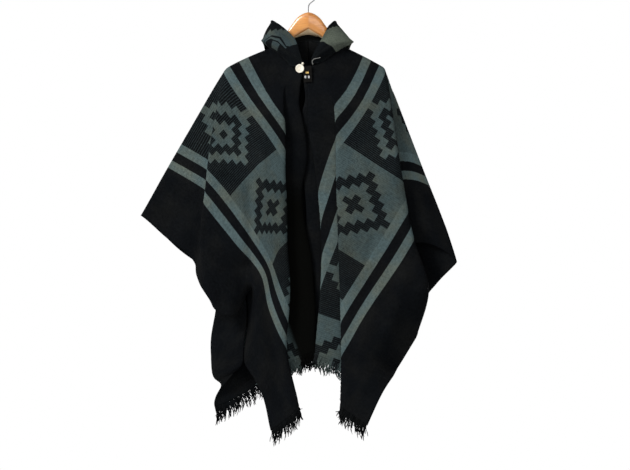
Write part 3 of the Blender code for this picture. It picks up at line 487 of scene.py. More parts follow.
# ---- shader helpers ------------------------------------------------------------
class Shader:
    """Adds nodes to one tree; numbers and sockets may be mixed freely."""

    def __init__(self, tree):
        self.tree = tree

    def put(self, socket, value):
        if isinstance(value, bpy.types.NodeSocket):
            self.tree.links.new(value, socket)
        else:
            socket.default_value = value

    def math(self, operation, *values, clamp=False):
        node = self.tree.nodes.new("ShaderNodeMath")
        node.operation = operation
        node.use_clamp = clamp
        for socket, value in zip(node.inputs, values):
            self.put(socket, value)
        return node.outputs[0]

    def add(self, *values):
        total = values[0]
        for value in values[1:]:
            total = self.math("ADD", total, value)
        return total

    def mul(self, a, b):
        return self.math("MULTIPLY", a, b)

    def sub(self, a, b):
        return self.math("SUBTRACT", a, b)

    def span(self, value, low, high, soft=0.0006):
        """1 where the value lies between low and high, with a soft edge."""
        rise = self.math("DIVIDE", self.sub(value, low - soft / 2.0), soft, clamp=True)
        fall = self.math("DIVIDE", self.sub(high + soft / 2.0, value), soft, clamp=True)
        return self.mul(rise, fall)

    def mix(self, share, a, b):
        node = self.tree.nodes.new("ShaderNodeMix")
        node.data_type = "RGBA"
        self.put(node.inputs["Factor"], share)
        self.put(node.inputs["A"], a)
        self.put(node.inputs["B"], b)
        return node.outputs["Result"]

    def noise(self, vector, scale, detail=2.0, rough=0.5):
        node = self.tree.nodes.new("ShaderNodeTexNoise")
        self.put(node.inputs["Vector"], vector)
        node.inputs["Scale"].default_value = scale
        node.inputs["Detail"].default_value = detail
        node.inputs["Roughness"].default_value = rough
        return node.outputs["Fac"]

    def join(self, x, y, z=0.0):
        node = self.tree.nodes.new("ShaderNodeCombineXYZ")
        for socket, value in zip(node.inputs, (x, y, z)):
            self.put(socket, value)
        return node.outputs[0]

    def ramp(self, value, low, high, out_low, out_high):
        node = self.tree.nodes.new("ShaderNodeMapRange")
        for socket, given in zip(node.inputs, (value, low, high, out_low, out_high)):
            self.put(socket, given)
        return node.outputs[0]


def new_group(name, sockets_in, sockets_out):
    tree = bpy.data.node_groups.new(name, "ShaderNodeTree")
    for label, kind in sockets_in:
        tree.interface.new_socket(label, in_out="INPUT", socket_type=kind)
    for label, kind in sockets_out:
        tree.interface.new_socket(label, in_out="OUTPUT", socket_type=kind)
    return tree, tree.nodes.new("NodeGroupInput"), tree.nodes.new("NodeGroupOutput")


def new_material(name, colour=(0.5, 0.5, 0.5, 1.0), rough=0.9, metal=0.0):
    skin = bpy.data.materials.new(name)
    skin.use_nodes = True
    shader = skin.node_tree.nodes["Principled BSDF"]
    shader.inputs["Base Color"].default_value = colour
    shader.inputs["Roughness"].default_value = rough
    shader.inputs["Metallic"].default_value = metal
    return skin, Shader(skin.node_tree), shader


def relief(net, shader, value, strength, distance):
    node = net.tree.nodes.new("ShaderNodeBump")
    node.inputs["Strength"].default_value = strength
    node.inputs["Distance"].default_value = distance
    net.put(node.inputs["Height"], value)
    net.put(shader.inputs["Normal"], node.outputs["Normal"])


# ---- woven cloth ---------------------------------------------------------------
BLACK = (0.0031, 0.0037, 0.0045, 1.0)
BROWNED = (0.0058, 0.0061, 0.0061, 1.0)
GREY = (0.055, 0.080, 0.083, 1.0)
FIELD_GREY = (0.010, 0.014, 0.014, 1.0)
# Near-black that a deep fold's painted shade darkens the cloth towards.
PAINTED_SHADE_COLOUR = (0.0016, 0.0017, 0.0014, 1.0)
OLIVE = (0.074, 0.085, 0.070, 1.0)
# Across the cloth: the grey bands, and the field of blocks between the inner two.
BANDS = ((0.127, 0.151), (0.176, 0.201), (0.425, 0.4505), (0.4765, 0.4995))
FIELD = (0.201, 0.425)
FIELD_STEPS = 11
BLOCK = 0.2465
BLOCK_START = 0.0045
STEP_ALONG = 0.0178
RIB = 0.0050
TWILL_ACROSS = 0.0034
TWILL_ALONG = 0.0044


def weave_group():
    """Fine twill of thick yarn: its relief, and a mask of the yarn's own tone."""
    tree, given, made = new_group(
        "twill", [("u", "NodeSocketFloat"), ("v", "NodeSocketFloat"),
                  ("Ribs", "NodeSocketFloat")],
        [("Height", "NodeSocketFloat"), ("Tone", "NodeSocketFloat"),
         ("Faded", "NodeSocketFloat"), ("Rib", "NodeSocketFloat")])
    net = Shader(tree)
    u, v, ribs = given.outputs["u"], given.outputs["v"], given.outputs["Ribs"]
    flat = net.join(u, v)
    wander = net.noise(flat, 55.0, 2.0)
    slant = net.add(net.mul(u, 1.0 / TWILL_ACROSS), net.mul(v, 1.0 / TWILL_ALONG),
                    net.mul(wander, 0.35))
    twill = net.math("ABSOLUTE", net.math("SINE", net.mul(slant, pi)))
    warped = net.add(v, net.mul(wander, 0.0020))
    rib = net.math("ABSOLUTE", net.math("SINE", net.mul(warped, pi / RIB)))
    fuzz = net.noise(net.join(u, net.mul(v, 0.55)), 900.0, 2.0, 0.6)
    tall = net.add(net.mul(twill, 0.45), net.mul(net.mul(rib, ribs), 0.9), net.mul(fuzz, 0.45))
    patch = net.noise(flat, 7.0, 3.0, 0.55)
    mottle = net.noise(flat, 150.0, 3.0, 0.7)
    streak = net.noise(net.join(net.mul(u, 0.05), v), 420.0, 2.0, 0.6)
    line = net.noise(net.join(u, net.mul(v, 0.03)), 520.0, 1.0)
    tone = net.add(net.mul(net.sub(twill, 0.64), 0.35), net.mul(net.sub(fuzz, 0.5), 0.9),
                   net.mul(net.mul(net.sub(rib, 0.64), ribs), 0.75),
                   net.mul(net.sub(patch, 0.5), 1.1), net.mul(net.sub(line, 0.5), 0.35),
                   net.mul(net.sub(streak, 0.5), 0.45), net.mul(net.sub(mottle, 0.5), 1.3), 1.0)
    net.put(made.inputs["Height"], tall)
    net.put(made.inputs["Tone"], tone)
    fleck = net.ramp(fuzz, 0.42, 0.62, 0.0, 1.0)
    net.put(made.inputs["Rib"], net.mul(net.mul(net.math("POWER", rib, 4.0), fleck), 0.30))
    worn = net.noise(flat, 11.0, 3.0, 0.6)
    net.put(made.inputs["Faded"], net.ramp(worn, 0.42, 0.66, 0.0, 0.85))
    return tree


def stripes_group():
    """Which yarn shows, 0 black and 1 grey, and where the field of blocks lies."""
    tree, given, made = new_group(
        "stripes", [("u", "NodeSocketFloat"), ("v", "NodeSocketFloat")],
        [("Grey", "NodeSocketFloat"), ("Field", "NodeSocketFloat")])
    net = Shader(tree)
    u, v = given.outputs["u"], given.outputs["v"]
    wave = net.sub(net.noise(net.join(u, v), 9.0, 1.0), 0.5)
    u = net.add(u, net.mul(wave, 0.0030))
    total = 0.0
    for low, high in BANDS:
        total = net.add(net.span(u, low, high), total)
    order = net.mul(net.sub(v, BLOCK_START), 1.0 / BLOCK)
    whole = net.math("FLOOR", order)
    within = net.mul(net.sub(net.sub(order, whole), 0.5), BLOCK)
    odd = net.math("PINGPONG", whole, 1.0)
    middle = (FIELD[0] + FIELD[1]) / 2.0
    step_across = (FIELD[1] - FIELD[0]) / FIELD_STEPS
    column = net.math("ROUND", net.mul(net.sub(u, middle), 1.0 / step_across))
    column = net.math("ABSOLUTE", column)
    far = net.add(column, net.mul(net.math("ABSOLUTE", within), 1.0 / STEP_ALONG))
    on_dark = net.math("MAXIMUM", net.span(far, 3.95, 5.6, 0.03), net.span(far, 0.55, 2.3, 0.03))
    on_grey = net.math("MAXIMUM", net.span(far, 3.6, 5.5, 0.03), net.span(far, -0.5, 1.45, 0.03))
    grey_block = net.sub(1.0, on_grey)
    shown = net.add(net.mul(odd, grey_block), net.mul(net.sub(1.0, odd), on_dark))
    inside = net.span(u, FIELD[0], FIELD[1])
    total = net.math("ADD", total, net.mul(inside, shown), clamp=True)
    net.put(made.inputs["Grey"], total)
    net.put(made.inputs["Field"], inside)
    return tree


def yarn_finish(net, shader, grey, ribs, weave, u, v, fold_shade_mask=None, pale=GREY):
    """Black or grey yarn by the mask, with the weave's tone and relief."""
    woven = net.tree.nodes.new("ShaderNodeGroup")
    woven.node_tree = weave
    for socket, value in (("u", u), ("v", v), ("Ribs", ribs)):
        net.put(woven.inputs[socket], value)
    light = net.mix(ribs, net.mix(woven.outputs["Faded"], pale, OLIVE), FIELD_GREY)
    dark = net.mix(woven.outputs["Faded"], BLACK, BROWNED)
    dark = net.mix(net.mul(ribs, woven.outputs["Rib"]), dark, GREY)
    colour = net.mix(grey, dark, light)
    scale = net.tree.nodes.new("ShaderNodeVectorMath")
    scale.operation = "SCALE"
    net.put(scale.inputs[0], colour)
    net.put(scale.inputs["Scale"], woven.outputs["Tone"])
    colour = scale.outputs[0]
    # Painted shade of a deep fold: the colour is darkened towards near-black.
    if fold_shade_mask:
        colour = net.mix(fold_shade_mask, colour, PAINTED_SHADE_COLOUR)
    net.put(shader.inputs["Base Color"], colour)
    net.put(shader.inputs["Roughness"], net.ramp(woven.outputs["Tone"], 0.6, 1.4, 0.96, 0.86))
    shader.inputs["Specular IOR Level"].default_value = 0.02
    relief(net, shader, woven.outputs["Height"], 0.6, 0.0006)


def cloth_places(net):
    """The flat measures u and v of the cloth, from its UV map."""
    source = net.tree.nodes.new("ShaderNodeUVMap")
    source.uv_map = "cloth"
    parts = net.tree.nodes.new("ShaderNodeSeparateXYZ")
    net.put(parts.inputs[0], source.outputs[0])
    return parts.outputs[0], parts.outputs[1]


def cloth_material(name, pattern, weave, fold_shade=None):
    """Striped cloth; the last argument gives the u over which a painted shade of a deep fold ends
    and the v over which it starts.
    """
    skin, net, shader = new_material(name, rough=0.9)
    u, v = cloth_places(net)
    fold_shade_mask = None
    if fold_shade:
        (near, far), (high, low) = fold_shade
        fold_shade_mask = net.mul(net.ramp(u, near, far, 1.0, 0.0), net.ramp(v, high, low, 0.0, 1.0))
    drawn = net.tree.nodes.new("ShaderNodeGroup")
    drawn.node_tree = pattern
    net.put(drawn.inputs["u"], u)
    net.put(drawn.inputs["v"], v)
    ribs = net.mul(drawn.outputs["Field"], net.ramp(drawn.outputs["Grey"], 0.0, 1.0, 1.0, 0.35))
    yarn_finish(net, shader, drawn.outputs["Grey"], ribs, weave, u, v, fold_shade_mask)
    return skin


def own_places(net, stretch=(1.0, 1.0, 1.0)):
    """The object's own coordinates in metres, stretched on each axis."""
    source = net.tree.nodes.new("ShaderNodeTexCoord")
    parts = net.tree.nodes.new("ShaderNodeVectorMath")
    parts.operation = "MULTIPLY"
    net.put(parts.inputs[0], source.outputs["Object"])
    parts.inputs[1].default_value = stretch
    return parts.outputs[0]


WOOD_TOP = -0.0725
# The chamfer under the crown, painted pale: partly paler cut wood, partly painted light on a face
# turned down. Its edge below the top, its fall to each side, and how far out it fades.
CHAMFER_DROP = 0.0445
CHAMFER_FALL = 0.583
CHAMFER_FADE = (0.042, 0.048)


def wood_material():
    """Varnished pale wood: grain along the arms, a soft figure and darker pores."""
    skin, net, shader = new_material("varnished_wood", rough=0.25)
    grain = net.noise(own_places(net, (3.0, 30.0, 60.0)), 6.0, 4.0, 0.6)
    pores = net.noise(own_places(net, (14.0, 200.0, 330.0)), 5.0, 2.0, 0.5)
    figure = net.noise(own_places(net), 14.0, 2.0, 0.5)
    pale = net.mix(net.ramp(grain, 0.35, 0.65, 0.0, 1.0), (0.40, 0.135, 0.026, 1.0),
                   (0.62, 0.26, 0.062, 1.0))
    colour = net.mix(net.ramp(figure, 0.35, 0.70, 0.0, 0.5), pale, (0.72, 0.36, 0.11, 1.0))
    colour = net.mix(net.ramp(pores, 0.62, 0.72, 0.0, 0.25), colour, (0.24, 0.08, 0.02, 1.0))
    spots = net.tree.nodes.new("ShaderNodeSeparateXYZ")
    net.put(spots.inputs[0], own_places(net))
    out = net.math("ABSOLUTE", spots.outputs[0])
    # Painted light: the chamfer faces down and is painted paler than the varnished wood, part as
    # cut wood and part as painted light.
    above = net.sub(net.add(spots.outputs[2], net.mul(out, CHAMFER_FALL)),
                    WOOD_TOP - CHAMFER_DROP)
    cut_and_painted_light = net.mul(net.ramp(above, -0.0006, 0.0006, 0.9, 0.0),
                  net.ramp(out, *CHAMFER_FADE, 1.0, 0.0))
    colour = net.mix(cut_and_painted_light, colour, (1.0, 0.78, 0.50, 1.0))
    net.put(shader.inputs["Base Color"], colour)
    net.put(shader.inputs["Roughness"], net.ramp(grain, 0.3, 0.7, 0.36, 0.28))
    shader.inputs["Coat Weight"].default_value = 0.6
    shader.inputs["Coat Roughness"].default_value = 0.12
    relief(net, shader, net.add(grain, net.mul(pores, 0.4)), 0.12, 0.0004)
    return skin


def metal_material(name, colour, rough):
    """Plated metal with fine scratches and a little tarnish."""
    skin, net, shader = new_material(name, colour, rough, 1.0)
    scratch = net.noise(own_places(net, (300.0, 300.0, 2600.0)), 1.0, 3.0, 0.6)
    stain = net.noise(own_places(net), 260.0, 3.0, 0.6)
    dull = tuple(c * 0.55 for c in colour[:3]) + (1.0,)
    tarnish = net.ramp(stain, 0.5, 0.72, 0.0, 0.7)
    net.put(shader.inputs["Base Color"], net.mix(tarnish, colour, dull))
    net.put(shader.inputs["Roughness"], net.ramp(stain, 0.3, 0.7, rough, rough + 0.22))
    relief(net, shader, scratch, 0.15, 0.0001)
    return skin


def shell_material():
    """Ivory shell with faint clouding and growth lines."""
    skin, net, shader = new_material("button_shell", rough=0.35)
    cloud = net.noise(own_places(net), 160.0, 3.0, 0.6)
    lines = net.noise(own_places(net, (60.0, 60.0, 520.0)), 3.0, 2.0, 0.5)
    colour = net.mix(net.ramp(cloud, 0.35, 0.65, 0.0, 1.0), (0.66, 0.60, 0.47, 1.0),
                     (0.80, 0.77, 0.68, 1.0))
    colour = net.mix(net.ramp(lines, 0.5, 0.75, 0.0, 0.35), colour, (0.50, 0.43, 0.31, 1.0))
    net.put(shader.inputs["Base Color"], colour)
    net.put(shader.inputs["Roughness"], net.ramp(cloud, 0.3, 0.7, 0.30, 0.45))
    relief(net, shader, cloud, 0.15, 0.0003)
    return skin


def yarn_material(name, colour):
    """Plain twisted yarn or tape in one colour, with fuzz and a fine lay."""
    skin, net, shader = new_material(name, rough=0.9)
    fuzz = net.noise(own_places(net), 1800.0, 2.0, 0.6)
    lay = net.noise(own_places(net, (900.0, 900.0, 2400.0)), 1.0, 2.0, 0.5)
    worn = tuple(min(1.0, c * 2.6 + 0.002) for c in colour[:3]) + (1.0,)
    share = net.ramp(net.add(net.mul(fuzz, 0.6), net.mul(lay, 0.4)), 0.42, 0.68, 0.0, 0.8)
    net.put(shader.inputs["Base Color"], net.mix(share, colour, worn))
    net.put(shader.inputs["Roughness"], net.ramp(fuzz, 0.3, 0.7, 0.96, 0.84))
    shader.inputs["Specular IOR Level"].default_value = 0.05
    relief(net, shader, net.add(fuzz, lay), 0.5, 0.0003)
    return skin


# ---- panels --------------------------------------------------------------------
PANEL_ACROSS = 112
PANEL_ALONG = 262
PANEL_PASSES = 10
# How far the pattern is shifted along each panel, and the stripes across the left one.
PATTERN_SHIFT = 0.011
LEFT_EASE = 0.035
LEFT_EASE_RUN = 0.14
LEFT_SLIP = 0.011
SLIP_START = 0.50
SLIP_RUN = 0.25
NECK_V = np.array([a for a, _ in NECK])
NECK_U = np.array([b for _, b in NECK])


def softened(points, passes):
    """Round the folds of a grid of points, with its edges held."""
    for _ in range(passes):
        core = points[1:-1, 1:-1]
        around = points[:-2, 1:-1] + points[2:, 1:-1] + points[1:-1, :-2] + points[1:-1, 2:]
        points[1:-1, 1:-1] = core * 0.5 + around * 0.125
    return points


def drawn_at(v, half):
    """Where along the warp the pattern of a panel is read."""
    if half["side"] > 0:
        return v + PATTERN_SHIFT
    return v - PATTERN_SHIFT + LEFT_EASE * (1.0 - ease(v / LEFT_EASE_RUN))


# Creases of each side: from and to as col, row, then half width in steps and depth.
# Troughs are plus, ridges minus.
CREASES = {
    "left": ((250, 190, 251, 262, 5.0, 0.0062), (243, 278, 242, 340, 7.0, 0.0055),
             (207, 234, 238, 231, 4.5, 0.0034), (222, 271, 253, 265, 3.5, 0.0036),
             (262, 150, 265, 186, 4.5, -0.0028), (230, 300, 236, 326, 7.5, -0.0045),
             (268, 300, 276, 356, 6.0, 0.0034), (222, 150, 236, 118, 7.0, 0.0028)),
    "right": ((374, 236, 366, 258, 3.5, 0.0042), (417, 243, 454, 256, 4.5, 0.0055),
              (359, 156, 366, 174, 4.0, -0.0026), (399, 178, 409, 214, 4.5, 0.0036),
              (350, 340, 372, 276, 8.0, 0.0040), (388, 330, 404, 276, 7.0, -0.0040),
              (342, 214, 347, 248, 4.0, 0.0026), (380, 130, 389, 168, 5.0, 0.0024))}
# Steps by which the creases behind lie higher, and the run of v they start over.
CREASE_SHIFT = -24.0
CREASE_START = 0.10


def creased(points, v, name):
    """Soft troughs and ridges, those at the back a little higher up."""
    col = COL0 + points[..., 0] / GRID
    row = ROW0 - (points[..., 2] - ROW0_Z) / GRID - np.where(v < 0.0, CREASE_SHIFT, 0.0)
    total = np.zeros(v.shape)
    for x0, y0, x1, y1, wide, deep in CREASES[name]:
        long_2 = (x1 - x0) ** 2 + (y1 - y0) ** 2
        along = ((col - x0) * (x1 - x0) + (row - y0) * (y1 - y0)) / long_2
        along = np.clip(along, 0.0, 1.0)
        away = np.hypot(col - x0 - along * (x1 - x0), row - y0 - along * (y1 - y0))
        total += deep * np.exp(-(away / wide) ** 2)
    points[..., 1] += total * np.sign(v) * ease(np.abs(v) / CREASE_START)


def slipped(u, v, half):
    """Where across the cloth the stripes are read: the left ones close in at the hem."""
    return u + (LEFT_SLIP * ease((v - SLIP_START) / SLIP_RUN) if half["side"] < 0 else 0.0)


def panel(name, half, skin):
    v = np.linspace(-BACK, FRONT, PANEL_ALONG + 1)
    share = np.linspace(0.0, 1.0, PANEL_ACROSS + 1)
    start = np.interp(v, NECK_V, NECK_U, 0.0, 0.0)
    u = start[:, None] + (WIDTH - start[:, None]) * share[None, :]
    v = np.broadcast_to(v[:, None], u.shape)
    points = cloth(u, v, half)
    deep = softened(points.copy(), PANEL_PASSES)
    points = softened(points, 1)
    points[..., 1] = deep[..., 1]
    creased(points, v, "right" if half["side"] > 0 else "left")
    if half["side"] > 0:
        points = points[:, ::-1]
        u = u[:, ::-1]
    uv = np.stack([slipped(u, v, half), drawn_at(v, half)], axis=-1)
    sheet = grid_mesh(name, points, uv, skin)
    thicken(sheet)
    return sheet


# ---- hood ----------------------------------------------------------------------
HOOD_WIDE = 0.34
HOOD_TALL = 0.24
HOOD_THICK = 0.0018
HOOD_FINE = 96
HOOD_DOWN = 84
HOOD_PASSES = 40
HOOD_SEAM = 0.0001
# The collar is sunk at its seam: how deep, over which s it grows, the s where it
# ends, over which s it fades there, and the t down to which it reaches.
HOOD_SINK = 0.0015
SINK_RISE = 0.10
SINK_END = 0.60
SINK_FADE = 0.06
SINK_DOWN = 0.45
# The stitches' row of the grid, and how many rows on their slant is read.
SEAM_ROW = 2
SEAM_REACH = 3


def hood(name, rows, half, skin):
    """Half a hood, and the places of the stitches along its neck edge."""
    s = np.linspace(0.0, 1.0, HOOD_FINE + 1)
    t = np.linspace(0.0, 1.0, HOOD_DOWN + 1)
    grid_s, grid_t = np.meshgrid(s, t, indexing="ij")
    points = hood_point(rows, half, grid_s.ravel(), grid_t.ravel())
    points = points.reshape(grid_s.shape + (3,))
    points = softened(points, HOOD_PASSES)
    sink = (ease(grid_s / SINK_RISE) * ease((SINK_END - grid_s) / SINK_FADE)
            * ease(1.0 - grid_t / SINK_DOWN))
    points[..., 2] -= HOOD_SINK * sink
    centre = ease((grid_s - 0.9) / 0.1)
    points[..., 0] += centre * (np.sign(points[..., 0]) * HOOD_SEAM - points[..., 0] * centre)
    uv = np.stack([grid_s * HOOD_WIDE, grid_t * HOOD_TALL], axis=-1)
    sheet = grid_mesh(name, points, uv, skin)
    thicken(sheet, HOOD_THICK)
    return sheet, seam_places(points)


def seam_places(points):
    """Middle, way along and way out of the stitches above a hood half's neck edge."""
    row = points[:, SEAM_ROW]
    way = np.gradient(row, axis=0)
    out = np.cross(way, points[:, SEAM_ROW + SEAM_REACH] - row)
    out /= np.linalg.norm(out, axis=1)[:, None]
    out *= np.sign(np.sum(out * (row - points.mean(axis=(0, 1))), axis=1))[:, None]
    row = row + out * (HOOD_THICK / 2.0 + 0.0001)
    return [(row[k], way[k], out[k]) for k in range(3, HOOD_FINE - 2, 2)]


# Where the grey of the left half begins, as s and t.
LEFT_GREY_FROM = (
    (0.00, 1.00), (0.19, 1.00), (0.203, 0.86), (0.245, 0.595), (0.281, 0.54), (0.385, 0.63),
    (0.464, 0.56), (0.526, 0.226), (0.56, 0.08), (0.60, 0.00), (1.00, 0.00))
HOOD_GREY = {"left": (0.042, 0.061, 0.065, 1.0), "right": (0.110, 0.128, 0.100, 1.0)}
HOOD_RIBS = 0.35


def float_curve(net, value, knots):
    """A line through the knots, all of them within 0 to 1."""
    node = net.tree.nodes.new("ShaderNodeFloatCurve")
    curve = node.mapping.curves[0]
    for x, y in knots[1:-1]:
        curve.points.new(x, y)
    curve.points[0].location = knots[0]
    curve.points[len(knots) - 1].location = knots[-1]
    for point, (x, y) in zip(curve.points, knots):
        point.location = (x, y)
        point.handle_type = "VECTOR"
    node.mapping.update()
    net.put(node.inputs["Value"], value)
    return node.outputs[0]


def hood_material(name, side, weave):
    """Ribbed cloth, with bands of grey that end in steps towards the hood's tip, and on the left
    half a painted highlight and painted shadow of its front roll.
    """
    skin, net, shader = new_material(name, rough=0.9)
    u, v = cloth_places(net)
    s = net.mul(u, 1.0 / HOOD_WIDE)
    t = net.mul(v, 1.0 / HOOD_TALL)
    step = net.math("PINGPONG", net.mul(s, 26.0), 0.5)
    back = net.add(net.span(s, 0.60, 0.655, 0.004), net.span(s, 0.83, 0.875, 0.004))
    front = net.span(s, -0.1, 0.575, 0.004)
    if side == "left":
        start = float_curve(net, s, LEFT_GREY_FROM)
        over = net.sub(t, start)
        tip = net.sub(net.add(net.mul(net.sub(s, 0.542), 3.5), t), 0.565)
        band = net.mul(net.span(over, 0.0, 2.0, 0.01),
                       net.span(net.add(tip, net.mul(step, 0.22)), -9.0, -0.06, 0.01))
        # Painted light of the front roll: a light arc painted as its lit edge, set off from the
        # grey band by a black line painted as the fold's shadow, with painted shade inside it.
        roll_lit_edge = net.mul(net.span(over, -0.125, -0.045, 0.01), net.span(s, 0.27, 0.55, 0.006))
        patch = net.mul(net.span(s, 0.352, 0.436, 0.004),
                        net.mul(net.span(over, -2.0, -0.19, 0.01), net.span(t, 0.07, 2.0, 0.01)))
        grey = net.add(band, roll_lit_edge, patch)
    else:
        line = net.sub(s, net.sub(0.333, net.mul(t, 0.111)))
        tip = net.sub(net.add(t, net.mul(net.sub(s, 0.43), 1.667)), 1.0)
        grey = net.mul(net.span(line, 0.0, 2.0, 0.004),
                       net.span(net.add(tip, net.mul(step, 0.10)), -9.0, -0.10, 0.01))
    grey = net.math("ADD", net.mul(front, grey), back, clamp=True)
    yarn_finish(net, shader, grey, HOOD_RIBS, weave, u, v, pale=HOOD_GREY[side])
    return skin


# ---- fringe --------------------------------------------------------------------
LOCK_LONG = 0.046
LOCK_SIDES = 4
LOCK_PARTS = 6
LOCK_MARGIN = 0.0025
# How far inside and beyond the hem the cloth is read, for a lock's root and fall.
LOCK_ROOT = 0.003
LOCK_FALL = 0.006
# Locks across a hem, share of the full length, half thickness, slant and curl.
LAYERS = ((290, 1.0, 0.0018, 0.16, 0.0018), (230, 0.72, 0.0021, 0.34, 0.0034))


def fringe(name, half, v_end, skin, seed):
    """Tangled locks of warp yarn below one hem, in the colours of their warp."""
    rng = np.random.default_rng(seed)
    out = 1.0 if v_end > 0 else -1.0
    v_drawn = float(drawn_at(np.array(v_end), half))
    slip = float(slipped(0.0, v_end, half))
    down = np.array([0.0, 0.0, -1.0])
    places = []
    faces = []
    flat = []
    for count, share, thick, slant, curl in LAYERS:
        u = (np.arange(count) + 0.5) / count * (WIDTH - 2.0 * LOCK_MARGIN) + LOCK_MARGIN
        root = cloth(u, np.full_like(u, v_end - out * LOCK_ROOT), half)
        fall = cloth(u, np.full_like(u, v_end + out * LOCK_FALL), half) - root
        fall /= np.linalg.norm(fall, axis=1)[:, None]
        along = np.gradient(root, axis=0)
        along /= np.linalg.norm(along, axis=1)[:, None]
        for k in range(count):
            long = LOCK_LONG * share * rng.uniform(0.75, 1.12)
            wide = thick * rng.uniform(0.8, 1.25)
            sway = along[k] * rng.normal(0.0, slant)
            sway = sway + np.array([0.0, rng.normal(0.0, 0.08), 0.0])
            turned_by, turns = rng.uniform(0.0, 2.0 * pi), rng.uniform(5.0, 12.0)
            side_way = along[k]
            front_way = np.cross(fall[k], side_way)
            first = len(places)
            for j in range(LOCK_PARTS + 1):
                f = j / LOCK_PARTS
                way = fall[k] * (1.0 - 0.6 * f) + down * 0.6 * f
                t = turned_by + f * turns
                wave = (side_way * cos(t) + front_way * sin(t) * 0.7) * curl * f
                middle = root[k] + way * long * f + sway * long * f * f + wave
                girth = wide * (1.0 - 0.5 * f ** 3) * (1.0 + 0.2 * sin(f * 19.0 + k))
                if j == 0:
                    girth *= 0.5
                for i in range(LOCK_SIDES):
                    t = 2.0 * pi * (i + 0.5) / LOCK_SIDES + f * 3.0
                    places.append(middle + (side_way * cos(t) + front_way * sin(t)) * girth)
                    flat.append((u[k] + slip, v_drawn))
            for j in range(LOCK_PARTS):
                a = first + j * LOCK_SIDES
                for i in range(LOCK_SIDES):
                    n = (i + 1) % LOCK_SIDES
                    faces.append((a + i, a + i + LOCK_SIDES, a + n + LOCK_SIDES, a + n))
            faces.append(tuple(range(first, first + LOCK_SIDES)))
            last = len(places)
            faces.append(tuple(range(last - 1, last - LOCK_SIDES - 1, -1)))
    return measured_mesh(name, [tuple(p) for p in places], faces, flat, skin)


# ---- hanger, button, tab and clasp ----------------------------------------------
WOOD_HALF = 0.006
# The crown: x, top, the front face's lower edge and the chamfer's, below the top.
CROWN = (
    (0.000, 0.0000, -0.0445, -0.0605), (0.012, -0.0030, -0.0500, -0.0620),
    (0.025, -0.0105, -0.0570, -0.0655), (0.035, -0.0200, -0.0635, -0.0690),
    (0.042, -0.0300, -0.0690, -0.0725), (0.050, -0.0410, -0.0755, -0.0765),
    (0.0575, -0.0520, -0.0795, -0.0800))
CROWN_STATIONS = 41
# How far the arms lie lower under the cloth near the crown, their depth and its taper.
WOOD_DROP = 0.0070
ARM_DEEP = 0.026
ARM_TAPER = 0.008
ARM_START = 0.066
# The ridge down the middle of the front face, and where the tips begin to narrow.
WOOD_RIDGE = 0.0100
RIDGE_HALF = 0.06
TIP_FROM = 0.180
WOOD_RING = 20
WOOD_STATIONS = 60


def hanger_rows():
    """Sections of the hanger from tip to tip: x, top, front low and back low."""
    crown = [tuple(row) for row in through(CROWN, np.linspace(0.0, 1.0, CROWN_STATIONS))]
    sides = []
    for half in (HALVES["right"], HALVES["left"]):
        side = half["side"]
        u = np.linspace(NECK_HALF, half["tip"][0] - 0.002, 60)
        line = np.stack([cloth(u, np.full_like(u, v), half)
                         for v in np.linspace(-0.009, 0.009, 7)])
        reach = line[3][:, 0] * side
        top = line[:, :, 2].min(axis=0) - CLOTH_THICK / 2.0 - 0.0008
        out = np.linspace(ARM_START, reach.max() - 0.012, WOOD_STATIONS)
        share = (out - out[0]) / (out[-1] - out[0])
        z = np.interp(out, reach, top) - WOOD_DROP * ease((0.135 - out) / 0.02)
        deep = ARM_DEEP - ARM_TAPER * share
        arm = [(side * a, b, b - d, b - d - 0.001) for a, b, d in zip(out, z, deep)]
        bare = [(side * a, WOOD_TOP + b, WOOD_TOP + c, WOOD_TOP + d) for a, b, c, d in crown]
        sides.append(bare + arm)
    return sorted(set(sides[0]) | set(sides[1][1:]))


def hanger_body(name, skin):
    """The wooden hanger, its front face meeting a paler chamfer underneath."""
    bm = bmesh.new()
    rings = []
    for x, top, low, back_low in hanger_rows():
        ring = []
        end = 1.0 - 0.6 * ease((abs(x) - TIP_FROM) / 0.02)
        for k in range(WOOD_RING):
            t = 2.0 * pi * (k + 0.5) / WOOD_RING
            c, s = cos(t), sin(t)
            y = -WOOD_HALF * np.sign(c) * abs(c) ** 0.55 * end
            if y < 0.0:
                y -= WOOD_RIDGE * max(0.0, 1.0 - abs(x) / RIDGE_HALF) * abs(c) ** 0.2
            under = (low + back_low) / 2.0 + (back_low - low) / 2.0 * np.sign(y)
            middle = (top + under) / 2.0
            z = middle + (top - under) / 2.0 * np.sign(s) * abs(s) ** 0.75
            ring.append(bm.verts.new((x, y, z)))
        rings.append(ring)
    loft(bm, rings)
    return add_solid(name, bm, skin)


def turned_disc(name, centre, profile, skin, sides=48):
    """A body of revolution about the front-to-back line through its centre."""
    bm = bmesh.new()
    rings = []
    for radius, y in profile:
        rings.append([bm.verts.new(centre + Vector((radius * cos(2.0 * pi * k / sides), y,
                                                    radius * sin(2.0 * pi * k / sides))))
                      for k in range(sides)])
    loft(bm, rings)
    return add_solid(name, bm, skin)


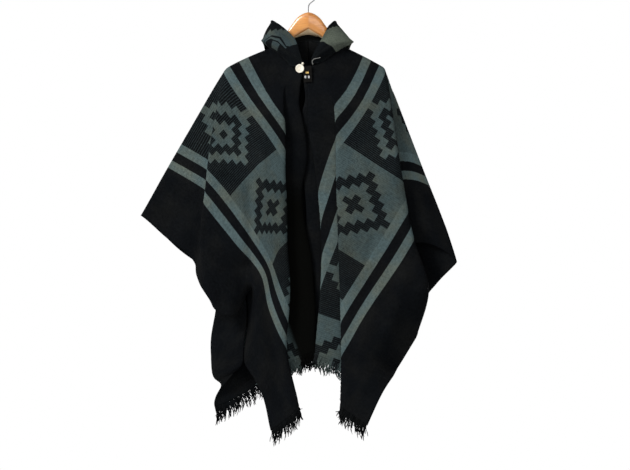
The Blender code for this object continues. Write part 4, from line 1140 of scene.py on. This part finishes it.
def cord_mesh(name, points, radius, skin, strands=2, turns=9.0, sides=6, steps=60):
    """A laid cord: strands twisted about a smooth line through the points."""
    knots = np.array([list(p) for p in points])
    line = through(knots, np.linspace(0.0, 1.0, steps))
    bm = bmesh.new()
    for strand in range(strands):
        rings = []
        for j in range(steps):
            way = Vector(line[min(j + 1, steps - 1)] - line[max(j - 1, 0)]).normalized()
            side_way = way.cross(Vector((0.0, 1.0, 0.0))).normalized()
            front_way = way.cross(side_way)
            t = 2.0 * pi * (turns * j / (steps - 1) + strand / strands)
            centre = Vector(line[j]) + (side_way * cos(t) + front_way * sin(t)) * radius * 0.5
            rings.append([bm.verts.new(centre + (side_way * cos(2.0 * pi * i / sides)
                                                 + front_way * sin(2.0 * pi * i / sides))
                                       * radius * 0.55) for i in range(sides)])
        loft(bm, rings)
    return add_solid(name, bm, skin)


def rounded_box(bm, centre, size, edge, turn=0.0, cuts=2):
    """Adds a box with rounded edges to the mesh."""
    made = bmesh.ops.create_cube(
        bm, size=1.0, matrix=Matrix.Translation(centre) @ Matrix.Rotation(turn, 4, "Y")
        @ Matrix.Diagonal((size[0], size[1], size[2], 1.0)))
    edges = list({e for v in made["verts"] for e in v.link_edges})
    bmesh.ops.bevel(bm, geom=edges, offset=edge, segments=cuts, profile=0.5, affect="EDGES")


STITCH_SIDES = 5


def stitches(name, places, long, thick, skin):
    """Short stitches: places is a list of middle, way along and way out."""
    bm = bmesh.new()
    for middle, way, out in places:
        way = Vector(way).normalized()
        out = Vector(out).normalized()
        side_way = way.cross(out)
        rings = []
        for f in (-0.5, -0.28, 0.0, 0.28, 0.5):
            lift = (0.25 - f * f) * 2.4
            centre = Vector(middle) + way * long * f + out * thick * (lift - 0.35)
            girth = thick * (0.45 + 0.55 * (1.0 - 4.0 * f * f))
            turns = [2.0 * pi * i / STITCH_SIDES for i in range(STITCH_SIDES)]
            rings.append([bm.verts.new(centre + (side_way * cos(a) + out * sin(a)) * girth)
                          for a in turns])
        loft(bm, rings)
    return add_solid(name, bm, skin)


# Each stitch's length and thickness.
NECK_STITCH = (0.0036, 0.0003)
TAB_STITCH = (0.0028, 0.0003)
TAB_Y = -0.0316
TAB_TURN = radians(-3.0)
TAB_SIZE = (0.023, 0.002, 0.044)
TAB_AT = at(307.6, 74.8, TAB_Y)
CLASP_Y = TAB_Y - 0.0013
KEEPER_AT = (307.3, 73.6)
BUTTON_Y = -0.0347
BUTTON_RADIUS = 0.01175
BEAD_RADIUS = 0.0034
LOOP_Y = -0.0350
LOOP_RADIUS = 0.0010
LOOP_LINE = ((313.0, 65.5), (312.2, 62.0), (314.5, 59.9), (318.0, 59.2), (320.5, 58.4))
# Radius and depth off the middle: the button's back, round edge, rim and dished face.
BUTTON_PROFILE = (
    (0.0020, 0.0015), (0.0104, 0.0015), (0.01135, 0.0011), (BUTTON_RADIUS, 0.0002),
    (0.01150, -0.0008), (0.01080, -0.0014), (0.00980, -0.0015), (0.00880, -0.0011),
    (0.00760, -0.0006), (0.00500, -0.0004), (0.00200, -0.0003))
BEAD_PROFILE = [(BEAD_RADIUS * sin(pi * k / 16.0), BEAD_RADIUS * cos(pi * k / 16.0))
                for k in range(1, 16)]


def tab_strip(name, skin):
    bm = bmesh.new()
    rounded_box(bm, TAB_AT, TAB_SIZE, 0.0007, TAB_TURN, 3)
    return add_mesh(name, bm, skin)


def tab_stitch_places():
    """Places of the stitches down both edges of the tab."""
    turn = Matrix.Rotation(TAB_TURN, 4, "Y")
    places = []
    for edge in (-1.0, 1.0):
        for k in range(9):
            local = Vector((edge * 0.0098, -0.0011, -0.0185 + k * 0.0046))
            places.append((TAB_AT + turn @ local, turn @ Vector((0.0, 0.0, 1.0)),
                           (0.0, -1.0, 0.0)))
    return places


def clasp_bridge(name, skin):
    """The keeper: a bar and two uprights on a thin plate."""
    bm = bmesh.new()
    middle = at(*KEEPER_AT, CLASP_Y - 0.0011)
    rounded_box(bm, middle, (0.0080, 0.0022, 0.0014), 0.0005)
    for shift in (-0.0032, 0.0032):
        rounded_box(bm, middle + Vector((shift, 0.0, 0.0)), (0.0016, 0.0021, 0.0052), 0.0005)
    rounded_box(bm, at(*KEEPER_AT, CLASP_Y - 0.0006), (0.0078, 0.0010, 0.0050), 0.0004)
    return add_mesh(name, bm, skin)


def clasp_hook(name, col, skin):
    """A flat metal bit with a raised lip."""
    bm = bmesh.new()
    rounded_box(bm, at(col, 77.9, CLASP_Y - 0.0006), (0.0046, 0.0010, 0.0066), 0.0004)
    rounded_box(bm, at(col, 77.3, CLASP_Y - 0.0013), (0.0030, 0.0012, 0.0036), 0.0005)
    return add_mesh(name, bm, skin)


def carry(piece, node):
    """Hide the node of the model that a piece stands for."""
    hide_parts(node)


# ---- scene ---------------------------------------------------------------------
WEAVE = weave_group()
PATTERN = stripes_group()
YARN = cloth_material("fringe_yarn", PATTERN, WEAVE)
# Painted shade deep in the fold of the left panel, on its cloth and its fringe: the u over which
# it ends, and the v over which it begins.
FOLD_SHADE_SPAN = ((0.265, 0.300), (0.33, 0.47))
CLOTHS = {"left": cloth_material("striped_twill_left_fold_shade", PATTERN, WEAVE, FOLD_SHADE_SPAN),
          "right": cloth_material("striped_twill", PATTERN, WEAVE)}
YARNS = {"left": cloth_material("fringe_yarn_left", PATTERN, WEAVE, FOLD_SHADE_SPAN), "right": YARN}
WOODEN = wood_material()
WIRE = metal_material("hook_wire", (0.30, 0.30, 0.31, 1.0), 0.28)
STEEL = metal_material("clasp_steel", (0.62, 0.62, 0.62, 1.0), 0.30)
BRASS = metal_material("clasp_brass", (0.72, 0.50, 0.18, 1.0), 0.30)
SHELL = shell_material()
TAB_CLOTH = yarn_material("tab_cloth", (0.0040, 0.0036, 0.0032, 1.0))
LOOP_YARN = yarn_material("loop_yarn", (0.16, 0.16, 0.15, 1.0))
THREAD = yarn_material("dark_thread", (0.010, 0.011, 0.012, 1.0))

for side in ("left", "right"):
    half = HALVES[side]
    sheet = panel("cloth_" + side, half, CLOTHS[side])
    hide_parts("panel_" + side)
    for place, v_end, seed in (("front", FRONT, 5), ("back", -BACK, 9)):
        tail = fringe("locks_%s_%s" % (place, side), half, v_end, YARNS[side], seed)
        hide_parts("fringe_%s_%s" % (place, side))
for name, rows in (("left", HOOD_LEFT), ("right", HOOD_RIGHT)):
    sheet, seam = hood("hood_cloth_" + name, rows, HALVES[name],
                       hood_material("hood_twill_" + name, name, WEAVE))
    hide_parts("hood_" + name)
    stitches("neck_stitches_" + name, seam, *NECK_STITCH, THREAD)

carry(hanger_body("hanger_body", WOODEN), "hanger_wood")
carry(turned_disc("button_disc", at(299.9, 69.4, BUTTON_Y), BUTTON_PROFILE, SHELL),
      "neck_button")
carry(turned_disc("bead", at(302.8, 64.6, BUTTON_Y - 0.0040), BEAD_PROFILE, SHELL, 24),
      "button_bead")
carry(tab_strip("tab_strip", TAB_CLOTH), "neck_tab")
carry(clasp_bridge("clasp_bridge", BRASS), "clasp_keeper")
for name, node, col in (("clasp_hook_left", "clasp_bit_left", 305.5),
                        ("clasp_hook_right", "clasp_bit_right", 308.9)):
    carry(clasp_hook(name, col, STEEL), node)
carry(cord_mesh("loop_cord", [at(c, r, LOOP_Y) for c, r in LOOP_LINE], LOOP_RADIUS, LOOP_YARN),
      "button_loop")
stitches("tab_stitches", tab_stitch_places(), *TAB_STITCH, THREAD)
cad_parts["hanger_hook"].data.materials.clear()
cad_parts["hanger_hook"].data.materials.append(WIRE)

# ---- studio --------------------------------------------------------------------
PICTURE_WIDE = 630
PICTURE_TALL = 470
CENTRE = (float(across(PICTURE_WIDE / 2.0)), float(height(PICTURE_TALL / 2.0)))
CAMERA_AWAY = 6.0

camera = bpy.data.cameras.new("camera")
camera.sensor_width = 36.0
camera.lens = 36.0 * CAMERA_AWAY / (PICTURE_WIDE * GRID)
camera.clip_end = 50.0
eye = link(bpy.data.objects.new("camera", camera))
eye.location = (CENTRE[0], -CAMERA_AWAY, CENTRE[1])
eye.rotation_euler = (pi / 2.0, 0.0, 0.0)
bpy.context.scene.camera = eye

FLOOR_Z = -1.75
FLOOR_RADIUS = 3.6


def studio():
    """A pale round floor under a white surround."""
    bm = bmesh.new()
    bmesh.ops.create_circle(bm, cap_ends=True, segments=96, radius=FLOOR_RADIUS,
                            matrix=Matrix.Translation((0.0, 0.0, FLOOR_Z)))
    mesh = bpy.data.meshes.new("floor")
    bm.to_mesh(mesh)
    bm.free()
    skin, net, shader = new_material("pale_floor", rough=0.9)
    tint = net.noise(own_places(net), 1.5, 2.0)
    net.put(shader.inputs["Base Color"],
            net.mix(tint, (0.80, 0.80, 0.80, 1.0), (0.86, 0.86, 0.86, 1.0)))
    mesh.materials.append(skin)
    link(bpy.data.objects.new("floor", mesh))


def surround(seen, cast):
    """White all round: as bright as seen to the camera, softer as a light."""
    world = bpy.data.worlds.new("studio")
    world.use_nodes = True
    nodes, links = world.node_tree.nodes, world.node_tree.links
    soft = nodes["Background"]
    soft.inputs["Color"].default_value = (1.0, 1.0, 1.0, 1.0)
    soft.inputs["Strength"].default_value = cast
    plain = nodes.new("ShaderNodeBackground")
    plain.inputs["Strength"].default_value = seen
    plain.inputs["Color"].default_value = (1.0, 1.0, 1.0, 1.0)
    path = nodes.new("ShaderNodeLightPath")
    either = nodes.new("ShaderNodeMixShader")
    links.new(path.outputs["Is Camera Ray"], either.inputs[0])
    links.new(soft.outputs[0], either.inputs[1])
    links.new(plain.outputs[0], either.inputs[2])
    links.new(either.outputs[0], nodes["World Output"].inputs["Surface"])
    bpy.context.scene.world = world


studio()
surround(seen=1.0, cast=0.35)
bpy.context.scene.view_settings.view_transform = "Standard"


def lamp(name, where, aim, size, power):
    data = bpy.data.lights.new(name, "AREA")
    data.shape = "RECTANGLE"
    data.size = size[0]
    data.size_y = size[1]
    data.energy = power
    obj = link(bpy.data.objects.new(name, data))
    obj.location = where
    obj.rotation_euler = (Vector(aim) - Vector(where)).to_track_quat("-Z", "Y").to_euler()


lamp("key", (-2.9, -2.5, 1.7), (0.0, 0.0, -0.5), (1.3, 1.3), 215.0)
lamp("fill", (1.2, -5.0, 1.0), (0.0, 0.0, -0.7), (2.4, 2.0), 45.0)
lamp("rear", (3.4, 4.0, 1.2), (0.0, 0.0, -0.6), (1.8, 1.8), 260.0)
